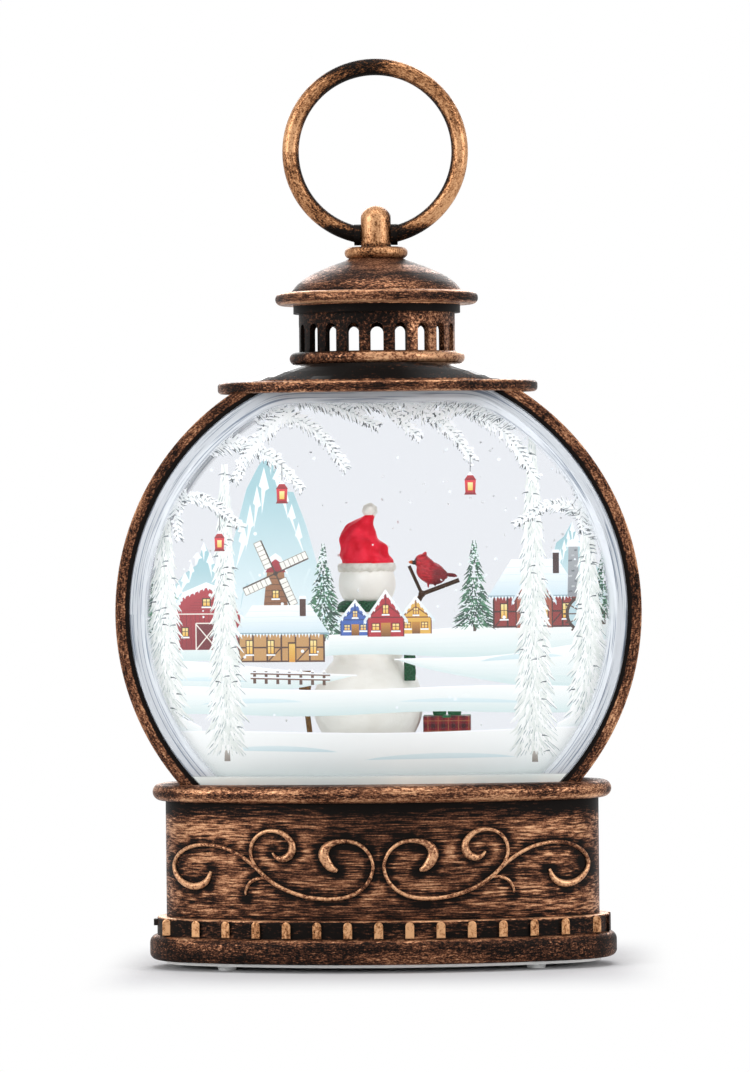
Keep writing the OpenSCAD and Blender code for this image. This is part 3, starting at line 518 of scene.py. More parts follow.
# The clear coat lies only on the slope's left and right and not its middle: a painted sheen where the slope
# shows reflections.
wear("shoulder_cap", antique(
    "copper of the shoulder", along=round_post, mark=0.4, stretch=LEVEL, amount=0.33, rough=0.34, speck=0.5,
    lift=lambda f: edges(*BRIM_EDGES, reach=0.6)(f) * 0.6,
    dark=lambda f: f.step(f.z, BRIM_TOP, BRIM_TOP + 0.5) * 0.55,
    coat=lambda f: f.step(f.z, BRIM_TOP, BRIM_TOP + 0.5) * f.step(abs(f.x + 2.0), 8.0, 26.0)))
# Rubbed brighter below the sill's top edge; brighter on the right and darker on the left is painted light and
# shade.
wear("gallery", antique(
    "copper of the gallery", along=round_post, mark=0.45, stretch=(2.5, 1.0, 2.0), amount=0.40, speck=0.5,
    lift=lambda f: f.step(f.z, SILL_TOP, SILL_TOP - 0.4) * 0.45 + f.step(f.x, 2, 20) * 0.35,
    dark=lambda f: f.step(f.x, 6, -14) * 0.25))
wear("roof", antique(
    "copper of the roof", along=round_post, mark=0.4, stretch=LEVEL, amount=0.42, speck=0.6,
    lift=lambda f: edges(*ROOF_EDGES, reach=0.7)(f) * 0.8,
    dark=lambda f: f.step(f.z, EAVES, EAVES - 0.5) * 0.9))
# Its lift holds painted highlights on the front of the post.
wear("finial", antique("gold of the finial", mark=0.5, amount=0.48, lift=finial_bead_and_painted_highlight, stretch=(1.0, 1.0, 2.0),
                       dark=finial_dark, speck=0.6, tones=BRASS))
# Its dark mask holds painted shade on the ring's inner side and by its pads.
wear("handle_ring", antique("warm gold of the ring", along=round_ring, mark=0.5, stretch=(3.0, 1.0, 1.0),
                            amount=0.76, dark=ring_dark_and_painted_shade, speck=0.6, tones=BRASS))

wear("picture_window", clear_wall("clear window in front", (0.962, 0.967, 0.976, 1.0), rim=True))
wear("clear_window", clear_wall("clear window at the back", (0.955, 0.963, 0.978, 1.0), rim=True))
wear("tank_ring", clear_wall("clear ring of the tank", "fafcfd"))
wear("snow_mound", snow_look("snowy ground", "fafcfc", "e4ecef"))
wear("gift_box", plaid("red and green checks of the gift", "8c1822", "3c0d14", "c98f4e", 3.0))

wear("feet bottom_cover battery_door battery_box motor_mount",
     plain("white moulded plastic", "fafbfa", 0.42, change=0.03))
wear("switch_body switch_knob", plain("dark brown moulded plastic", "1d1512", 0.5, specular=0.15))
wear("cover_screws door_screws board_screws mount_screws motor motor_shaft",
     plain("zinc plated steel", "a6a8ab", .3, .9))
for nodes, *finish in (        # the finish: name, colour, roughness and, for metal, how metallic it is
        ("battery_contacts contact_springs", "nickel plated spring metal", "c3bba8", .28, .9),
        ("drive_magnets impeller_magnet", "plated magnet", "77777b", .3, .85),
        ("pivot_pin", "bronzed steel pin", "6b4a30", .35, .8),
        ("finial_nut", "plated nut", "8a8a8c", .3, .9),
        ("window_gaskets", "soft clear seal", "eef1f6", .5),
        ("batteries", "wrapped cell", "8d2420", .35),
        ("led_boards", "green board", "1e5a34", .4),
        ("control_board", "green control board", "1e5a34", .4),
        ("leds", "frosted diode", "f3eedd", .3),
        ("light_window", "frosted light window", "eef0ec", .55),
        ("drive_disc", "grey drive disc", "b9bbbd", .45),
        ("impeller", "white impeller", "e9ecec", .35),
        ("fill_plug", "white filling plug", "dfe3e4", .4),
        ("plug_seal", "rubber ring", "3b3b3e", .6),
        ("snowman_face", "coal paint", "17130f", .5),
        ("carrot_nose", "carrot paint", "d7772a", .5),
        ("gift_ribbon", "green ribbon", "1f6b3e", .4)):
    wear(nodes, plain(*finish))
wear("snowman_arms", plain("twig bark", "4d3424", 0.75, mark=0.8, change=0.4, depth=0.15))
wear("broom", plain("straw and stick", "8a6236", 0.8, mark=0.9, change=0.45, depth=0.3))


# ---------------------------------------------------------------- making pieces

def put(name, mesh, material, body, smooth=True):
    """One finished piece at its place, riding on a body."""
    piece = linked(name, mesh)
    mesh.materials.clear()
    mesh.materials.append(material)
    mesh.polygons.foreach_set("use_smooth", [smooth] * len(mesh.polygons))
    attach(piece, body)
    return piece


@contextmanager
def reworked(mesh, source=None):
    """The mesh, or a source in its place, opened for editing, and written to the mesh at the end."""
    made = bmesh.new()
    made.from_mesh(source or mesh)
    yield made
    made.to_mesh(mesh)
    made.free()


def mesh_from(name, points, faces):
    """A mesh in metres from points in millimetres, with its faces turned outwards."""
    mesh = bpy.data.meshes.new(name)
    mesh.from_pydata([tuple(p) for p in np.array(points) * MM], [], [tuple(f) for f in faces])
    mesh.validate()
    with reworked(mesh) as made:
        bmesh.ops.recalc_face_normals(made, faces=made.faces)
    return mesh


def rings(rows, sides):
    """The faces of a closed form whose points lie in rows, each a ring of as many sides."""
    around = [(k, (k + 1) % sides, sides + (k + 1) % sides, sides + k) for k in range(sides)]
    faces = [tuple(r * sides + corner for corner in face) for r in range(rows - 1) for face in around]
    return faces + [tuple(range(sides))[::-1], tuple(range((rows - 1) * sides, rows * sides))]


def applied(piece):
    """A plain mesh of what a piece's modifiers make."""
    view = bpy.context.evaluated_depsgraph_get()
    mesh = bpy.data.meshes.new_from_object(piece.evaluated_get(view), depsgraph=view)
    bpy.data.objects.remove(piece)
    return mesh


def skin(name, points, faces, voxel, rounds, bumps=None):
    """One moulded surface over overlapping solids: run together, softened and textured."""
    mesh = bpy.data.meshes.new(name)
    mesh.from_pydata([tuple(p) for p in points], [], faces)
    with reworked(mesh) as made:
        bmesh.ops.remove_doubles(made, verts=made.verts, dist=WELD)
    piece = linked(name + " working", mesh)
    remesh = piece.modifiers.new("skin", "REMESH")
    remesh.mode, remesh.voxel_size = "VOXEL", voxel * MM
    soften = piece.modifiers.new("soften", "SMOOTH")
    soften.factor, soften.iterations = 0.5, rounds
    mesh = applied(piece)
    if bumps:
        normals = [v.normal.copy() for v in mesh.vertices]
        for v, n in zip(mesh.vertices, normals):
            v.co += n * MM * bumps(v.co / MM)
    return mesh


def egg(points, faces, centre, radii, tip, turn, sides=20, levels=12):
    """Adds an egg shape in millimetres, leaned about Y by tip and about Z by turn, in degrees."""
    lean = Matrix.Rotation(math.radians(turn), 3, "Z") @ Matrix.Rotation(math.radians(tip), 3, "Y")
    first = len(points)
    for i in range(levels + 1):
        b = math.pi * i / levels
        count = 1 if i in (0, levels) else sides
        for k in range(count):
            a = 2 * math.pi * k / sides
            flat = Vector((math.sin(b) * math.cos(a), math.sin(b) * math.sin(a), math.cos(b)))
            points.append((lean @ (flat * Vector(radii)) + Vector(centre)) * MM)
    middle = [[first + 1 + r * sides + k for k in range(sides)] for r in range(levels - 1)]
    rows = [[first] * sides] + middle + [[len(points) - 1] * sides]
    for upper, lower in zip(rows[:-1], rows[1:]):
        for k in range(sides):
            ring = [upper[k], lower[k], lower[(k + 1) % sides], upper[(k + 1) % sides]]
            faces.append([v for n, v in enumerate(ring) if v not in ring[:n]])


def tube(line, sides, outward, lift=0.5, thick=0.75):
    """A closed raised line along rows of x, y, z, half width; outward gives the direction of its relief."""
    points, last = [], len(line) - 1
    for i, (x, y, z, w) in enumerate(line):
        ahead = np.array(line[min(i + 1, last)][:3]) - np.array(line[max(i - 1, 0)][:3])
        ahead = ahead / np.linalg.norm(ahead)
        out = np.array(outward[i], float)
        out = out - ahead * out.dot(ahead)
        out = out / np.linalg.norm(out)
        side = np.cross(ahead, out)
        tall = (0.35 + 0.75 * min(1.0, w)) * thick
        for k in range(sides):
            a = 2 * math.pi * k / sides
            points.append(np.array((x, y, z)) + side * w * math.cos(a) + out * tall * (math.sin(a) + lift))
    return points, rings(len(line), sides)


# ---------------------------------------------------------------- scrolls on the base

def scroll(name, face):
    """The raised scroll on the front or back of the base wall, mirrored about its middle."""
    tree = BVHTree.FromPolygons(*solids("base_shell"))
    points, faces = [], []
    for line in (SWEEP, CURL, LEAF):
        for half in (-1, 1):
            rows, out = [], []
            for x, z, w in smooth_line(line, 0.55):
                start = Vector((half * x, face * 80, SCROLL_MID + z)) * MM
                place, normal, _, _ = tree.ray_cast(start, Vector((0, -face, 0)))
                if place is None:
                    continue
                rows.append((place.x / MM, place.y / MM, place.z / MM, w))
                out.append(normal if normal.y * face > 0 else -normal)
            made, sides = tube(rows, 10, out)
            faces += [[len(points) + i for i in f] for f in sides]
            points += made
    gilt = antique("rubbed copper of the " + name.replace("_", " "), mark=0.6, amount=0.62,
                   stretch=(1.5, 1.5, 1.5), lift=lambda f: f.step(abs(f.x), -1.0, 0.0) * 0.35, speck=0.5)
    put(name, mesh_from(name, points, faces), gilt, "lantern")


scroll("front_scroll", -1)
scroll("back_scroll", 1)


# ---------------------------------------------------------------- repeats by geometry nodes

def scattered(name, spots, shape, turns, sizes):
    """Copies of a shape at points, turned and sized, made by a geometry nodes tree and then applied."""
    holder = bpy.data.meshes.new(name + " places")
    holder.from_pydata(spots, [], [])
    turn = holder.attributes.new("turn", "FLOAT_VECTOR", "POINT")
    turn.data.foreach_set("vector", [v for t in turns for v in t])
    holder.attributes.new("size", "FLOAT", "POINT").data.foreach_set("value", sizes)
    part, seats = linked(name + " shape", shape), linked(name + " places", holder)
    group = bpy.data.node_groups.new(name + " at their places", "GeometryNodeTree")
    for socket, kind, side in (("Places", "Geometry", "INPUT"), ("Shape", "Object", "INPUT"),
                               ("Finish", "Material", "INPUT"), ("Copies", "Geometry", "OUTPUT")):
        group.interface.new_socket(socket, in_out=side, socket_type="NodeSocket" + kind)
    tree = Tree(group)
    places, given, finish = tree.node("NodeGroupInput", out=("Places", "Shape", "Finish"))
    one = tree.node("GeometryNodeObjectInfo", None, {"Object": given}, out="Geometry")
    turned, sized = (
        tree.node("GeometryNodeInputNamedAttribute", {"data_type": kind}, {"Name": key}, out="Attribute")
        for key, kind in (("turn", "FLOAT_VECTOR"), ("size", "FLOAT")))
    copies = tree.node("GeometryNodeInstanceOnPoints", None,
                       {"Points": places, "Instance": one, "Rotation": turned, "Scale": sized})
    real = tree.node("GeometryNodeRealizeInstances", None, {0: copies})
    dressed = tree.node("GeometryNodeSetMaterial", None, {"Geometry": real, "Material": finish})
    tree.node("NodeGroupOutput", None, {0: dressed}, out=None)
    work = seats.modifiers.new("copies", "NODES")
    work.node_group = group
    work[{s.name: s.identifier for s in group.interface.items_tree}["Shape"]] = part
    mesh = applied(seats)
    bpy.data.objects.remove(part)
    return mesh


# ---------------------------------------------------------------- gilded caps on the pegs

def peg_cap():
    """One cap, from the outline of a peg's face out to a smaller one in front of it."""
    half, shoulder, middle = 1.3, 3.65, 2.4
    arch = [(half * math.cos(a), shoulder + half * math.sin(a)) for a in np.linspace(0, math.pi, 13)]
    outline = [(half, 0.1)] + arch + [(-half, 0.1)]
    layers = ((0.0, 0.0), (0.06, 0.15), (0.3, 0.22))        # how far in, and how far out from the band
    points = [(x * (1 - inset / 1.2), -out, middle + (z - middle) * (1 - inset / middle))
              for inset, out in layers for x, z in outline]
    return mesh_from("peg cap", points, rings(len(layers), len(outline)))


def peg_caps():
    """A rubbed gold cap on each peg of the band, put on points of the band by geometry nodes."""
    tree = BVHTree.FromPolygons(*solids("dentil_band"))
    spots, turns = [], []
    for face in (-1, 1):
        for i in range(PEGS):
            x = (i - PEGS // 2) * PEG_PITCH
            left, place, right = (
                tree.ray_cast(Vector((x + s, face * 80.0, PEG_Z)) * MM, Vector((0, -face, 0)))[0]
                for s in (-.5, 0, .5))
            if None in (left, place, right):
                continue
            run = right - left
            out = Vector((run.y, -run.x, 0)).normalized()
            if out.y * face < 0:
                out = -out
            spots.append(Vector((place.x, place.y, PEG_FOOT * MM)))
            turns.append((0.0, 0.0, math.atan2(out.y, out.x) + math.pi / 2))
    gold = antique("gold of the pegs", mark=0.9, amount=0.86, stretch=(1.0, 1.0, 1.6), speck=0.45,
                   tones=BRASS)
    mesh = scattered("caps", spots, peg_cap(), turns, [1.0] * len(spots))
    put("gilded_pegs", mesh, gold, "lantern", smooth=False)


peg_caps()


# ---------------------------------------------------------------- the print inside the front window

shapes = []        # of the print, each as its ring of points, two colours and the heights between them


def fill(ring, low, high=None, span=None):
    """Adds one flat shape to the print, over those before it; low and high colours run up over span."""
    ring = np.array(ring, float)
    low = np.array(paint(low)[:3])
    high = low if high is None else np.array(paint(high)[:3])
    span = span or (ring[:, 1].min(), ring[:, 1].max())
    shapes.append((ring, low, high, span))


def box(x0, z0, x1, z1, *tones):
    """An upright rectangle between two corners."""
    fill([(x0, z0), (x1, z0), (x1, z1), (x0, z1)], *tones)


def block(x, low_z, low_half, top_z, top_half, *tones):
    """Four corners about an upright line at x, as wide above and below as the two half widths say."""
    fill([(x - low_half, low_z), (x + low_half, low_z), (x + top_half, top_z), (x - top_half, top_z)], *tones)


def tip(x, z, half, end, tone):
    """A small point, up for snow on a post or down for an icicle."""
    fill([(x - half, z), (x + half, z), (x, end)], tone)


def disc(x, z, r, turn, tone):
    """A round spot, with a corner at each angle of turn."""
    fill([(x + r * math.cos(a), z + r * math.sin(a)) for a in turn], tone)


def stroke(line, width, colour, taper=False):
    """A brush line: a thin shape along the points."""
    line = np.array(line, float)
    ahead = np.gradient(line, axis=0)
    ahead /= np.linalg.norm(ahead, axis=1)[:, None] + 1e-9
    side = np.stack([-ahead[:, 1], ahead[:, 0]], 1) * width / 2
    if taper:
        side *= np.linspace(1, 0.15, len(line))[:, None]
    fill(np.vstack([line + side, (line - side)[::-1]]), colour)


def wavy(x0, x1, z0, z1, height, waves, phase, count=26):
    """A waving line from one point to another."""
    t = np.linspace(0, 1, count)
    z = z0 + (z1 - z0) * t + height * np.sin(waves * math.pi * t + phase)
    return np.stack([x0 + (x1 - x0) * t, z], 1)


def drift(top, bottom, shade="d3e4e1", light="fbfbf7", end=0):
    """A bank of snow between two edges: white above, blue green shade in its lower side.
    It runs out to nothing at its right end, 1, or its left end, -1."""
    if end:
        t = np.linspace(0, 1, len(top))[::end, None]
        bottom = top + (bottom - top) * (1 - t ** 5)
    low, high, steps = np.array(paint(shade)[:3]), np.array(paint(light)[:3]), 6
    for k in range(steps):
        a, b = k / steps, (k + 1) / steps
        upper, lower = top + (bottom - top) * a, top + (bottom - top) * b
        tone = high + (low - high) * (0.15 + 0.85 * b) ** 1.6
        tone_up = high + (low - high) * (0.15 + 0.85 * a) ** 1.6
        ring = np.vstack([upper, lower[::-1]])
        shapes.append((ring, tone, tone_up, (lower[:, 1].mean(), upper[:, 1].mean())))
    stroke(top + (0, -0.2), 0.4, "ffffff")


def shadow_strip(x, z, wide, tall, lean=0.0):
    """A soft blue stroke of shade lying on the snow."""
    t = np.linspace(0, 1, 12)
    up = tall * np.sin(math.pi * t) ** 0.7
    line = np.stack([x + wide * t, z + lean * wide * t], 1)
    fill(np.vstack([line + np.stack([0 * t, up], 1), line[::-1]]), "cfe3e5", "e2efef")


def far_peaks(x, z, width, height, seed):
    """Pale far mountains: a jagged ridge, snow tongues and hazy feet."""
    rng = random.Random(seed)
    ridge = []
    for k in range(15):
        t = k / 14
        tall = height * (1 - abs(2 * t - 1) ** 1.15) * (1 if k == 7 else 0.86 + 0.2 * rng.random())
        ridge.append((x - width / 2 + width * t + rng.uniform(-0.8, 0.8), z + max(0, tall)))
    fill(ridge, "f0f6f6", "a2c8cd", (z + height * .02, z + height * .8))
    peak = max(ridge, key=lambda p: p[1])
    for k in range(9):
        lean = (k - 4) / 4
        a = (peak[0] + lean * width * .17, peak[1] - abs(lean) * height * .36 + .2)
        drop = height * rng.uniform(.12, .24)
        wide = width * rng.uniform(.018, .034)
        tongue = ((wide, .45), (wide * .3, .5), (lean * wide * 1.6, 1), (-wide * .5, .45), (-wide, .4))
        fill([a] + [(a[0] + u, a[1] - drop * v) for u, v in tongue], "f4f9f9")
    for k in range(16):
        a = (x + rng.uniform(-.34, .34) * width, z + height * rng.uniform(.1, .42))
        side = rng.choice((-1, 1))
        b, c = ((a[0] + side * width * u, a[1] - height * v) for u, v in ((.03, .05), (.045, .12)))
        stroke([a, b, c], .7, rng.choice(("b9d6da", "d9e9ea")), taper=True)


def tall_spruce(x, z, width, height, seed):
    """A tall slim spruce white with frost: cream needles in whorls over a pale stem, and a few bare twigs."""
    rng = random.Random(seed)
    block(x, z - 3.2, .9, z + .6, .7, "8f857a", "b9b1a6")
    levels = (0, .3, .6, .97)
    fill([(x + side * (width * .34 * (1 - t) ** .7 + .2), z + height * t)
          for side, run in ((-1, levels), (1, levels[::-1])) for t in run], "e3e8e1", "eef1eb")
    tiers = int(height / 2.0)
    for k in range(tiers):
        t = k / tiers
        wide = width / 2 * (1 - t) ** .7 + .3
        low = z + height * t
        count = max(2, int(wide * 1.5))
        for m in range(-count, count + 1):
            s = m / count + rng.uniform(-.08, .08)
            reach = wide * (1.12 if k % 2 else .94)
            a, b = (x + s * wide * .62, low + 1.7), (x + s * reach, low - rng.uniform(.3, 1.2) - .5 * abs(s))
            if rng.random() < .55:
                shade = rng.choice(("a4b1b2", "b9c5c4", "c7d1ce", "8b999c"))
                stroke([(a[0] + .1, a[1] - .4), (b[0] + .15, b[1] - .45)], .7, shade, taper=True)
            stroke([a, b], 1.05, rng.choice(("f7f8f3", "eef0ea", "e4e8e1", "fbfbf7")), taper=True)
    for _ in range(int(height / 4)):
        t = rng.random()
        wide = width / 2 * (1 - t) ** .7
        a, b = x + rng.choice((-1, 1)) * wide * rng.uniform(.1, .8), z + height * t
        way = rng.choice((-1, 1))
        twig = [(a, b), (a + way * 1.1, b - .1), (a + way * 1.9, b - .5)]
        stroke(twig, .45, rng.choice(("4d585c", "6b777b", "39434a")), taper=True)


def pine(x, z, width, height, seed):
    """A green pine: dark needles in whorls with snow lying on them."""
    rng = random.Random(seed)
    stroke([(x, z - 1.2), (x, z + 2)], 1.0, "4b3426")
    rows = int(height * 1.15)
    for k in range(rows):
        t = (k + .3) / rows
        wide = width / 2 * (1 - t) ** .9 + .3
        z0 = z + height * t
        for m in range(max(2, int(wide * 1.5)) * 2 + 1):
            s = rng.uniform(-1, 1)
            a = (x + s * wide * .55, z0 + .8)
            b = (x + s * wide * 1.05, z0 - rng.uniform(.3, 1.1))
            stroke([a, b], .62, rng.choice(["1d4232", "28573f", "3b7350", "163528", "4b8460"]), taper=True)
    for _ in range(int(width * height * .55)):
        t = rng.random() ** 1.25
        wide = width / 2 * (1 - t) ** .9
        a, b = x + rng.uniform(-1, 1) * wide, z + height * t
        size = rng.uniform(.22, .5)
        snow = [(a - size, b), (a - size * .2, b + size * .7), (a + size, b - size * .1), (a, b - size * .5)]
        fill(snow, rng.choice(["eef5f3", "dbe9e6"]))
    fill([(x - .3, z + height - .8), (x, z + height + .9), (x + .3, z + height - .8)], "eef4f2")


def window(x, z, wide, tall, frame="43261a"):
    """A lit window with two bars and snow on its sill."""
    box(x, z, x + wide, z + tall, frame)
    i = min(wide, tall) * .13
    box(x + i, z + i, x + wide - i, z + tall - i, "efb43c", "fbe59a")
    stroke([(x + wide / 2, z + i), (x + wide / 2, z + tall - i)], .2, frame)
    stroke([(x + i, z + tall * .55), (x + wide - i, z + tall * .55)], .2, frame)
    fill([(x - .2, z - .35), (x + wide + .2, z - .35), (x + wide + .1, z + .1), (x - .1, z + .1)], "fbfdfd")


def snowy_roof(points, thick=1.1):
    """Thick snow lying along a roof line, with drips at its edge."""
    line = np.array(points, float)
    fill(np.vstack([line + (0, thick), (line - (0, .35))[::-1]]), "d3e3e8", "ffffff")
    for a, b in zip(line[:-1], line[1:]):
        for t in np.arange(.08, 1, .2):
            u, v = a + (b - a) * t
            fill([(u - .4, v - .15), (u + .4, v - .15), (u + .05, v - 1.0)], "f3f8f9")


def barn(x, z, wide, tall):
    """A red barn with a broken gable, boards, a hay door and a crossed door."""
    rise, eaves, m = wide * .40, z + tall, x + wide / 2
    gable = [(x, eaves), (x + wide * .15, eaves + rise * .64), (m, eaves + rise),
             (x + wide * .85, eaves + rise * .64), (x + wide, eaves)]
    fill([(x, z), (x + wide, z)] + gable[::-1], "8f1822", "b2333b")
    for k in range(1, 15):
        a = x + wide * k / 15
        stroke([(a, z), (a, z + tall * 1.02)], .16, "6f1219")
    for k in range(5):
        up = eaves + rise * (.12 + .1 * k)
        stroke([(x + wide * (.16 + .05 * k), up), (x + wide * (.84 - .05 * k), up)], .14, "7d1720")
    for side in (-1, 1):
        window(x + wide * (.5 + side * .32) - 1.1, z + tall * .36, 2.2, 2.9)
    d = wide * .16
    block(m, z, d, z + tall * .74, d, "6d121b")
    for *line, top in ((-d, d, .72), (d, -d, .72), (-d, -d, .74), (d, d, .74)):
        stroke([(m + line[0], z), (m + line[1], z + tall * top)], .34, "efe9dd")
    stroke([(m - d, z + tall * .74), (m + d, z + tall * .74)], .34, "efe9dd")
    window(m - 1.3, eaves + rise * .26, 2.6, 2.6)
    stroke([(x + .2, eaves), (x + wide - .2, eaves)], .34, "efe9dd")
    snowy_roof([(x - .9, eaves - .8)] + gable + [(x + wide + .9, eaves - .8)], 1.3)


def timbered(x, z, wide, tall, wall, beam, roof_tall, panes, door=None):
    """A timbered house seen along its side, with braces, lit windows and a snowy roof."""
    eaves, ridge = z + tall, z + tall + roof_tall
    box(x, z, x + wide, eaves, wall)
    bays = 6
    for k in range(bays + 1):
        a = x + wide * k / bays
        stroke([(a, z), (a, z + tall)], .5, beam)
        if k < bays and k % 2 == 0:
            stroke([(a, z), (a + wide / bays, z + tall * .5)], .36, beam)
    for k in (0.03, .5, .97):
        stroke([(x, z + tall * k), (x + wide, z + tall * k)], .46, beam)
    for k in range(panes):
        if k == door:
            a = x + wide * (k + .5) / panes - 1.2
            box(a, z, a + 2.4, z + tall * .68, beam)
            box(a + .3, z, a + 2.1, z + tall * .62, "d9952c", "edc25c")
        else:
            window(x + wide * (k + .5) / panes - 1.15, z + tall * .26, 2.3, tall * .5, beam)
    lean, edge = roof_tall * .5, eaves - .3
    roof = [(x - 1.6, edge), (x + wide + 1.6, edge), (x + wide - lean, ridge), (x + lean, ridge)]
    fill(roof, "cfe1e6", "ffffff")
    for k in range(4):
        t = .18 + .2 * k
        a = np.array(roof[0]) + (np.array(roof[3]) - roof[0]) * t
        b = np.array(roof[1]) + (np.array(roof[2]) - roof[1]) * t
        stroke([a, (a + b) / 2 + (0, .2), b], .16, "dbe8ec")
    stroke(roof[:2], .6, "8aa6b0")
    for k in range(int(wide * 1.1)):
        tip(x - 1.2 + k * .95, edge, .3, eaves - 1.1 - .3 * (k % 3), "f4f9fa")
    c = x + wide * .72
    box(c, eaves + roof_tall * .6, c + 1.8, ridge + 2, beam)
    fill([(c - .3, ridge + 1.8), (c + 2.1, ridge + 1.8), (c + 1.8, ridge + 2.7), (c, ridge + 2.7)], "fafcfc")


def cottage(x, z, wide, tall, wall, beam, steep=0.62, door=True):
    """A small house seen from its gable end."""
    top, mid = wide * steep, x + wide / 2
    left, right, under = (x, z + tall), (x + wide, z + tall), (mid, z + tall)
    peak, cross = (mid, z + tall + top), (mid, z + tall + top * .55)
    fill([(x, z), (x + wide, z), right, peak, left], wall)
    for line in (((x, z), left), ((x + wide, z), right), (left, right), (under, peak), (left, cross),
                 (right, cross)):
        stroke(line, .34, beam)
    size = wide * .24
    if door:
        block(mid, z, size * .55, z + tall * .72, size * .55, "7a4a1e", "c98a35")
        window(x + wide * .1, z + tall * .3, size, tall * .42, beam)
        window(x + wide * .9 - size, z + tall * .3, size, tall * .42, beam)
    else:
        window(mid - size * .6, z + tall * .25, size * 1.2, tall * .5, beam)
    window(mid - size * .4, z + tall + top * .12, size * .8, top * .4, beam)
    low = z + tall - top * .24
    snowy_roof([(x - wide * .12, low), peak, (x + wide * 1.12, low)], max(.8, wide * .09))


def windmill(x, z, tall, wide):
    """A wooden windmill with four lattice sails."""
    block(x, z, wide / 2, z + tall, wide * .3, "7a4a2c", "9c6a42")
    for k in range(1, 9):
        w = wide * (.5 - .2 * k / 9)
        stroke([(x - w, z + tall * k / 9), (x + w, z + tall * k / 9)], .2, "56331f")
    shoulder = z + tall + wide * .42
    crown = [(x - wide * .2, shoulder), (x, z + tall + wide * .56), (x + wide * .2, shoulder)]
    fill([(x - wide * .38, z + tall), (x + wide * .38, z + tall)] + crown[::-1], "8e1a26", "b2323a")
    snowy_roof([(x - wide * .42, z + tall - .1)] + crown + [(x + wide * .42, z + tall - .1)], .9)
    window(x - 1.1, z + tall * .52, 2.2, 2.6)
    block(x, z, 1.3, z + 3.6, 1.3, "c98627", "e9b957")
    snowy_roof([(x - wide * .62, z), (x - wide * .5, z + .5), (x + wide * .5, z + .5), (x + wide * .62, z)],
               .5)
    hub = np.array((x, z + tall * .98))
    for a in (24, 114, 204, 294):
        way = np.array((math.cos(math.radians(a)), math.sin(math.radians(a))))
        across = np.array((-way[1], way[0])) * 2.3
        start, reach = 2.2, tall * .66
        inner, outer = hub + way * start, hub + way * reach
        fill([inner, outer, outer + across, inner + across], "f4f1e8")
        for k in range(7):
            q = hub + way * (start + (reach - start) * k / 6)
            stroke([q, q + across], .18, "8c8272")
        stroke([hub + across + way * start, hub + across + way * reach], .18, "8c8272")
        stroke([hub, outer], .42, "4f3a2b")
    disc(*hub, .7, np.arange(0, 6.2, .8), "3b2a20")


def mill_wheel(x, z, r):
    """A water wheel: rim, hub, spokes and paddles."""
    turn = np.linspace(0, 2 * math.pi, 29)[:-1]
    for radius, tone in ((r, "3e2719"), (r * .84, "b9d2d6"), (r * .3, "3e2719")):
        disc(x, z, radius, turn, tone)
    spokes, paddles = np.linspace(0, math.pi, 7)[:-1], turn[::2]
    for angles, ends, width, tone in ((spokes, (-r, r), .36, "5e3a24"),
                                      (paddles, (r * .84, r * 1.12), .5, "4a2d1d")):
        for a in angles:
            stroke([(x + reach * math.cos(a), z + reach * math.sin(a)) for reach in ends], width, tone)


def bough(line, seed, size):
    """A snowy bough that hangs in from the rim: white needles with grey ones in their shade."""
    rng = random.Random(seed)
    curve = smooth_line([(*p, 0) for p in line], 1.35)[:, :2]
    n = len(curve)
    for tone, width, drop in (("646f73", 1.0, -.35), ("eef1ee", 1.0, .15)):
        stroke(curve + (0, drop), width, tone, taper=True)
    for i in range(1, n):
        for side in (-1, 1):
            for _ in range(3):
                d = curve[i] - curve[i - 1]
                lean = math.atan2(d[1], d[0]) + side * rng.uniform(.45, 1.05)
                reach = size * rng.uniform(.6, 1.0) * (1.1 - .6 * i / n)
                end = curve[i] + reach * np.array((math.cos(lean), math.sin(lean) - .12))
                shade = rng.choice(["5c676c", "7f8b90", "3f474b"])
                stroke([curve[i] - (0, .25), end - (.1, .42)], .55, shade, taper=True)
                stroke([curve[i], end], 1.0, rng.choice(["fdfdfb", "f1f4f2", "f8f9f6"]), taper=True)
                if rng.random() < .4:
                    a = curve[i] + (end - curve[i]) * rng.uniform(.5, .9)
                    fill([a + (-.7, -.1), a + (-.2, .5), a + (.6, .3), a + (.7, -.3), a + (0, -.5)], "ffffff")
                if rng.random() < .24:
                    a = curve[i] + (end - curve[i]) * .6
                    stroke([a, a + (rng.uniform(-.5, .5), -1.1)], .3, "32383b")


def lamp(x, z, size):
    """A small red lamp hung from a bough."""
    stroke([(x, z + size * 3.2), (x, z + size * .9)], .22, "4c4f50")
    for low_z, low_half, top_z, top_half, *tones in (        # the roof, the glass, its light and the foot
            (1.2, .22, .62, .62, "8b1019", "c22430"), (-.62, .5, .62, .56, "b4131f", "e0303a"),
            (-.4, .24, .4, .26, "f5c64e", "fdeaa2"), (-.84, .62, -.6, .5, "8b1019")):
        block(x, z + size * low_z, size * low_half, z + size * top_z, size * top_half, *tones)
    tip(x, z + size * 1.12, size * .3, z + size * 1.5, "ffffff")


def fence(x0, x1, z, lean, pitch=3.4):
    """Posts and two rails, with snow on all of them."""
    for k in range(int((x1 - x0) / pitch) + 1):
        a = x0 + pitch * k
        b = z + lean * (a - x0)
        block(a, b - 1.8, .45, b + 2.1, .4, "5d3f2d")
        tip(a, b + 1.9, .65, b + 2.8, "ffffff")
    for up in (-.3, 1.1):
        stroke([(x0 - 1.2, z + up), (x1 + 1.2, z + up + lean * (x1 - x0))], .42, "75523c")
        stroke([(x0 - 1.2, z + up + .36), (x1 + 1.2, z + up + .36 + lean * (x1 - x0))], .34, "f6f9f9")


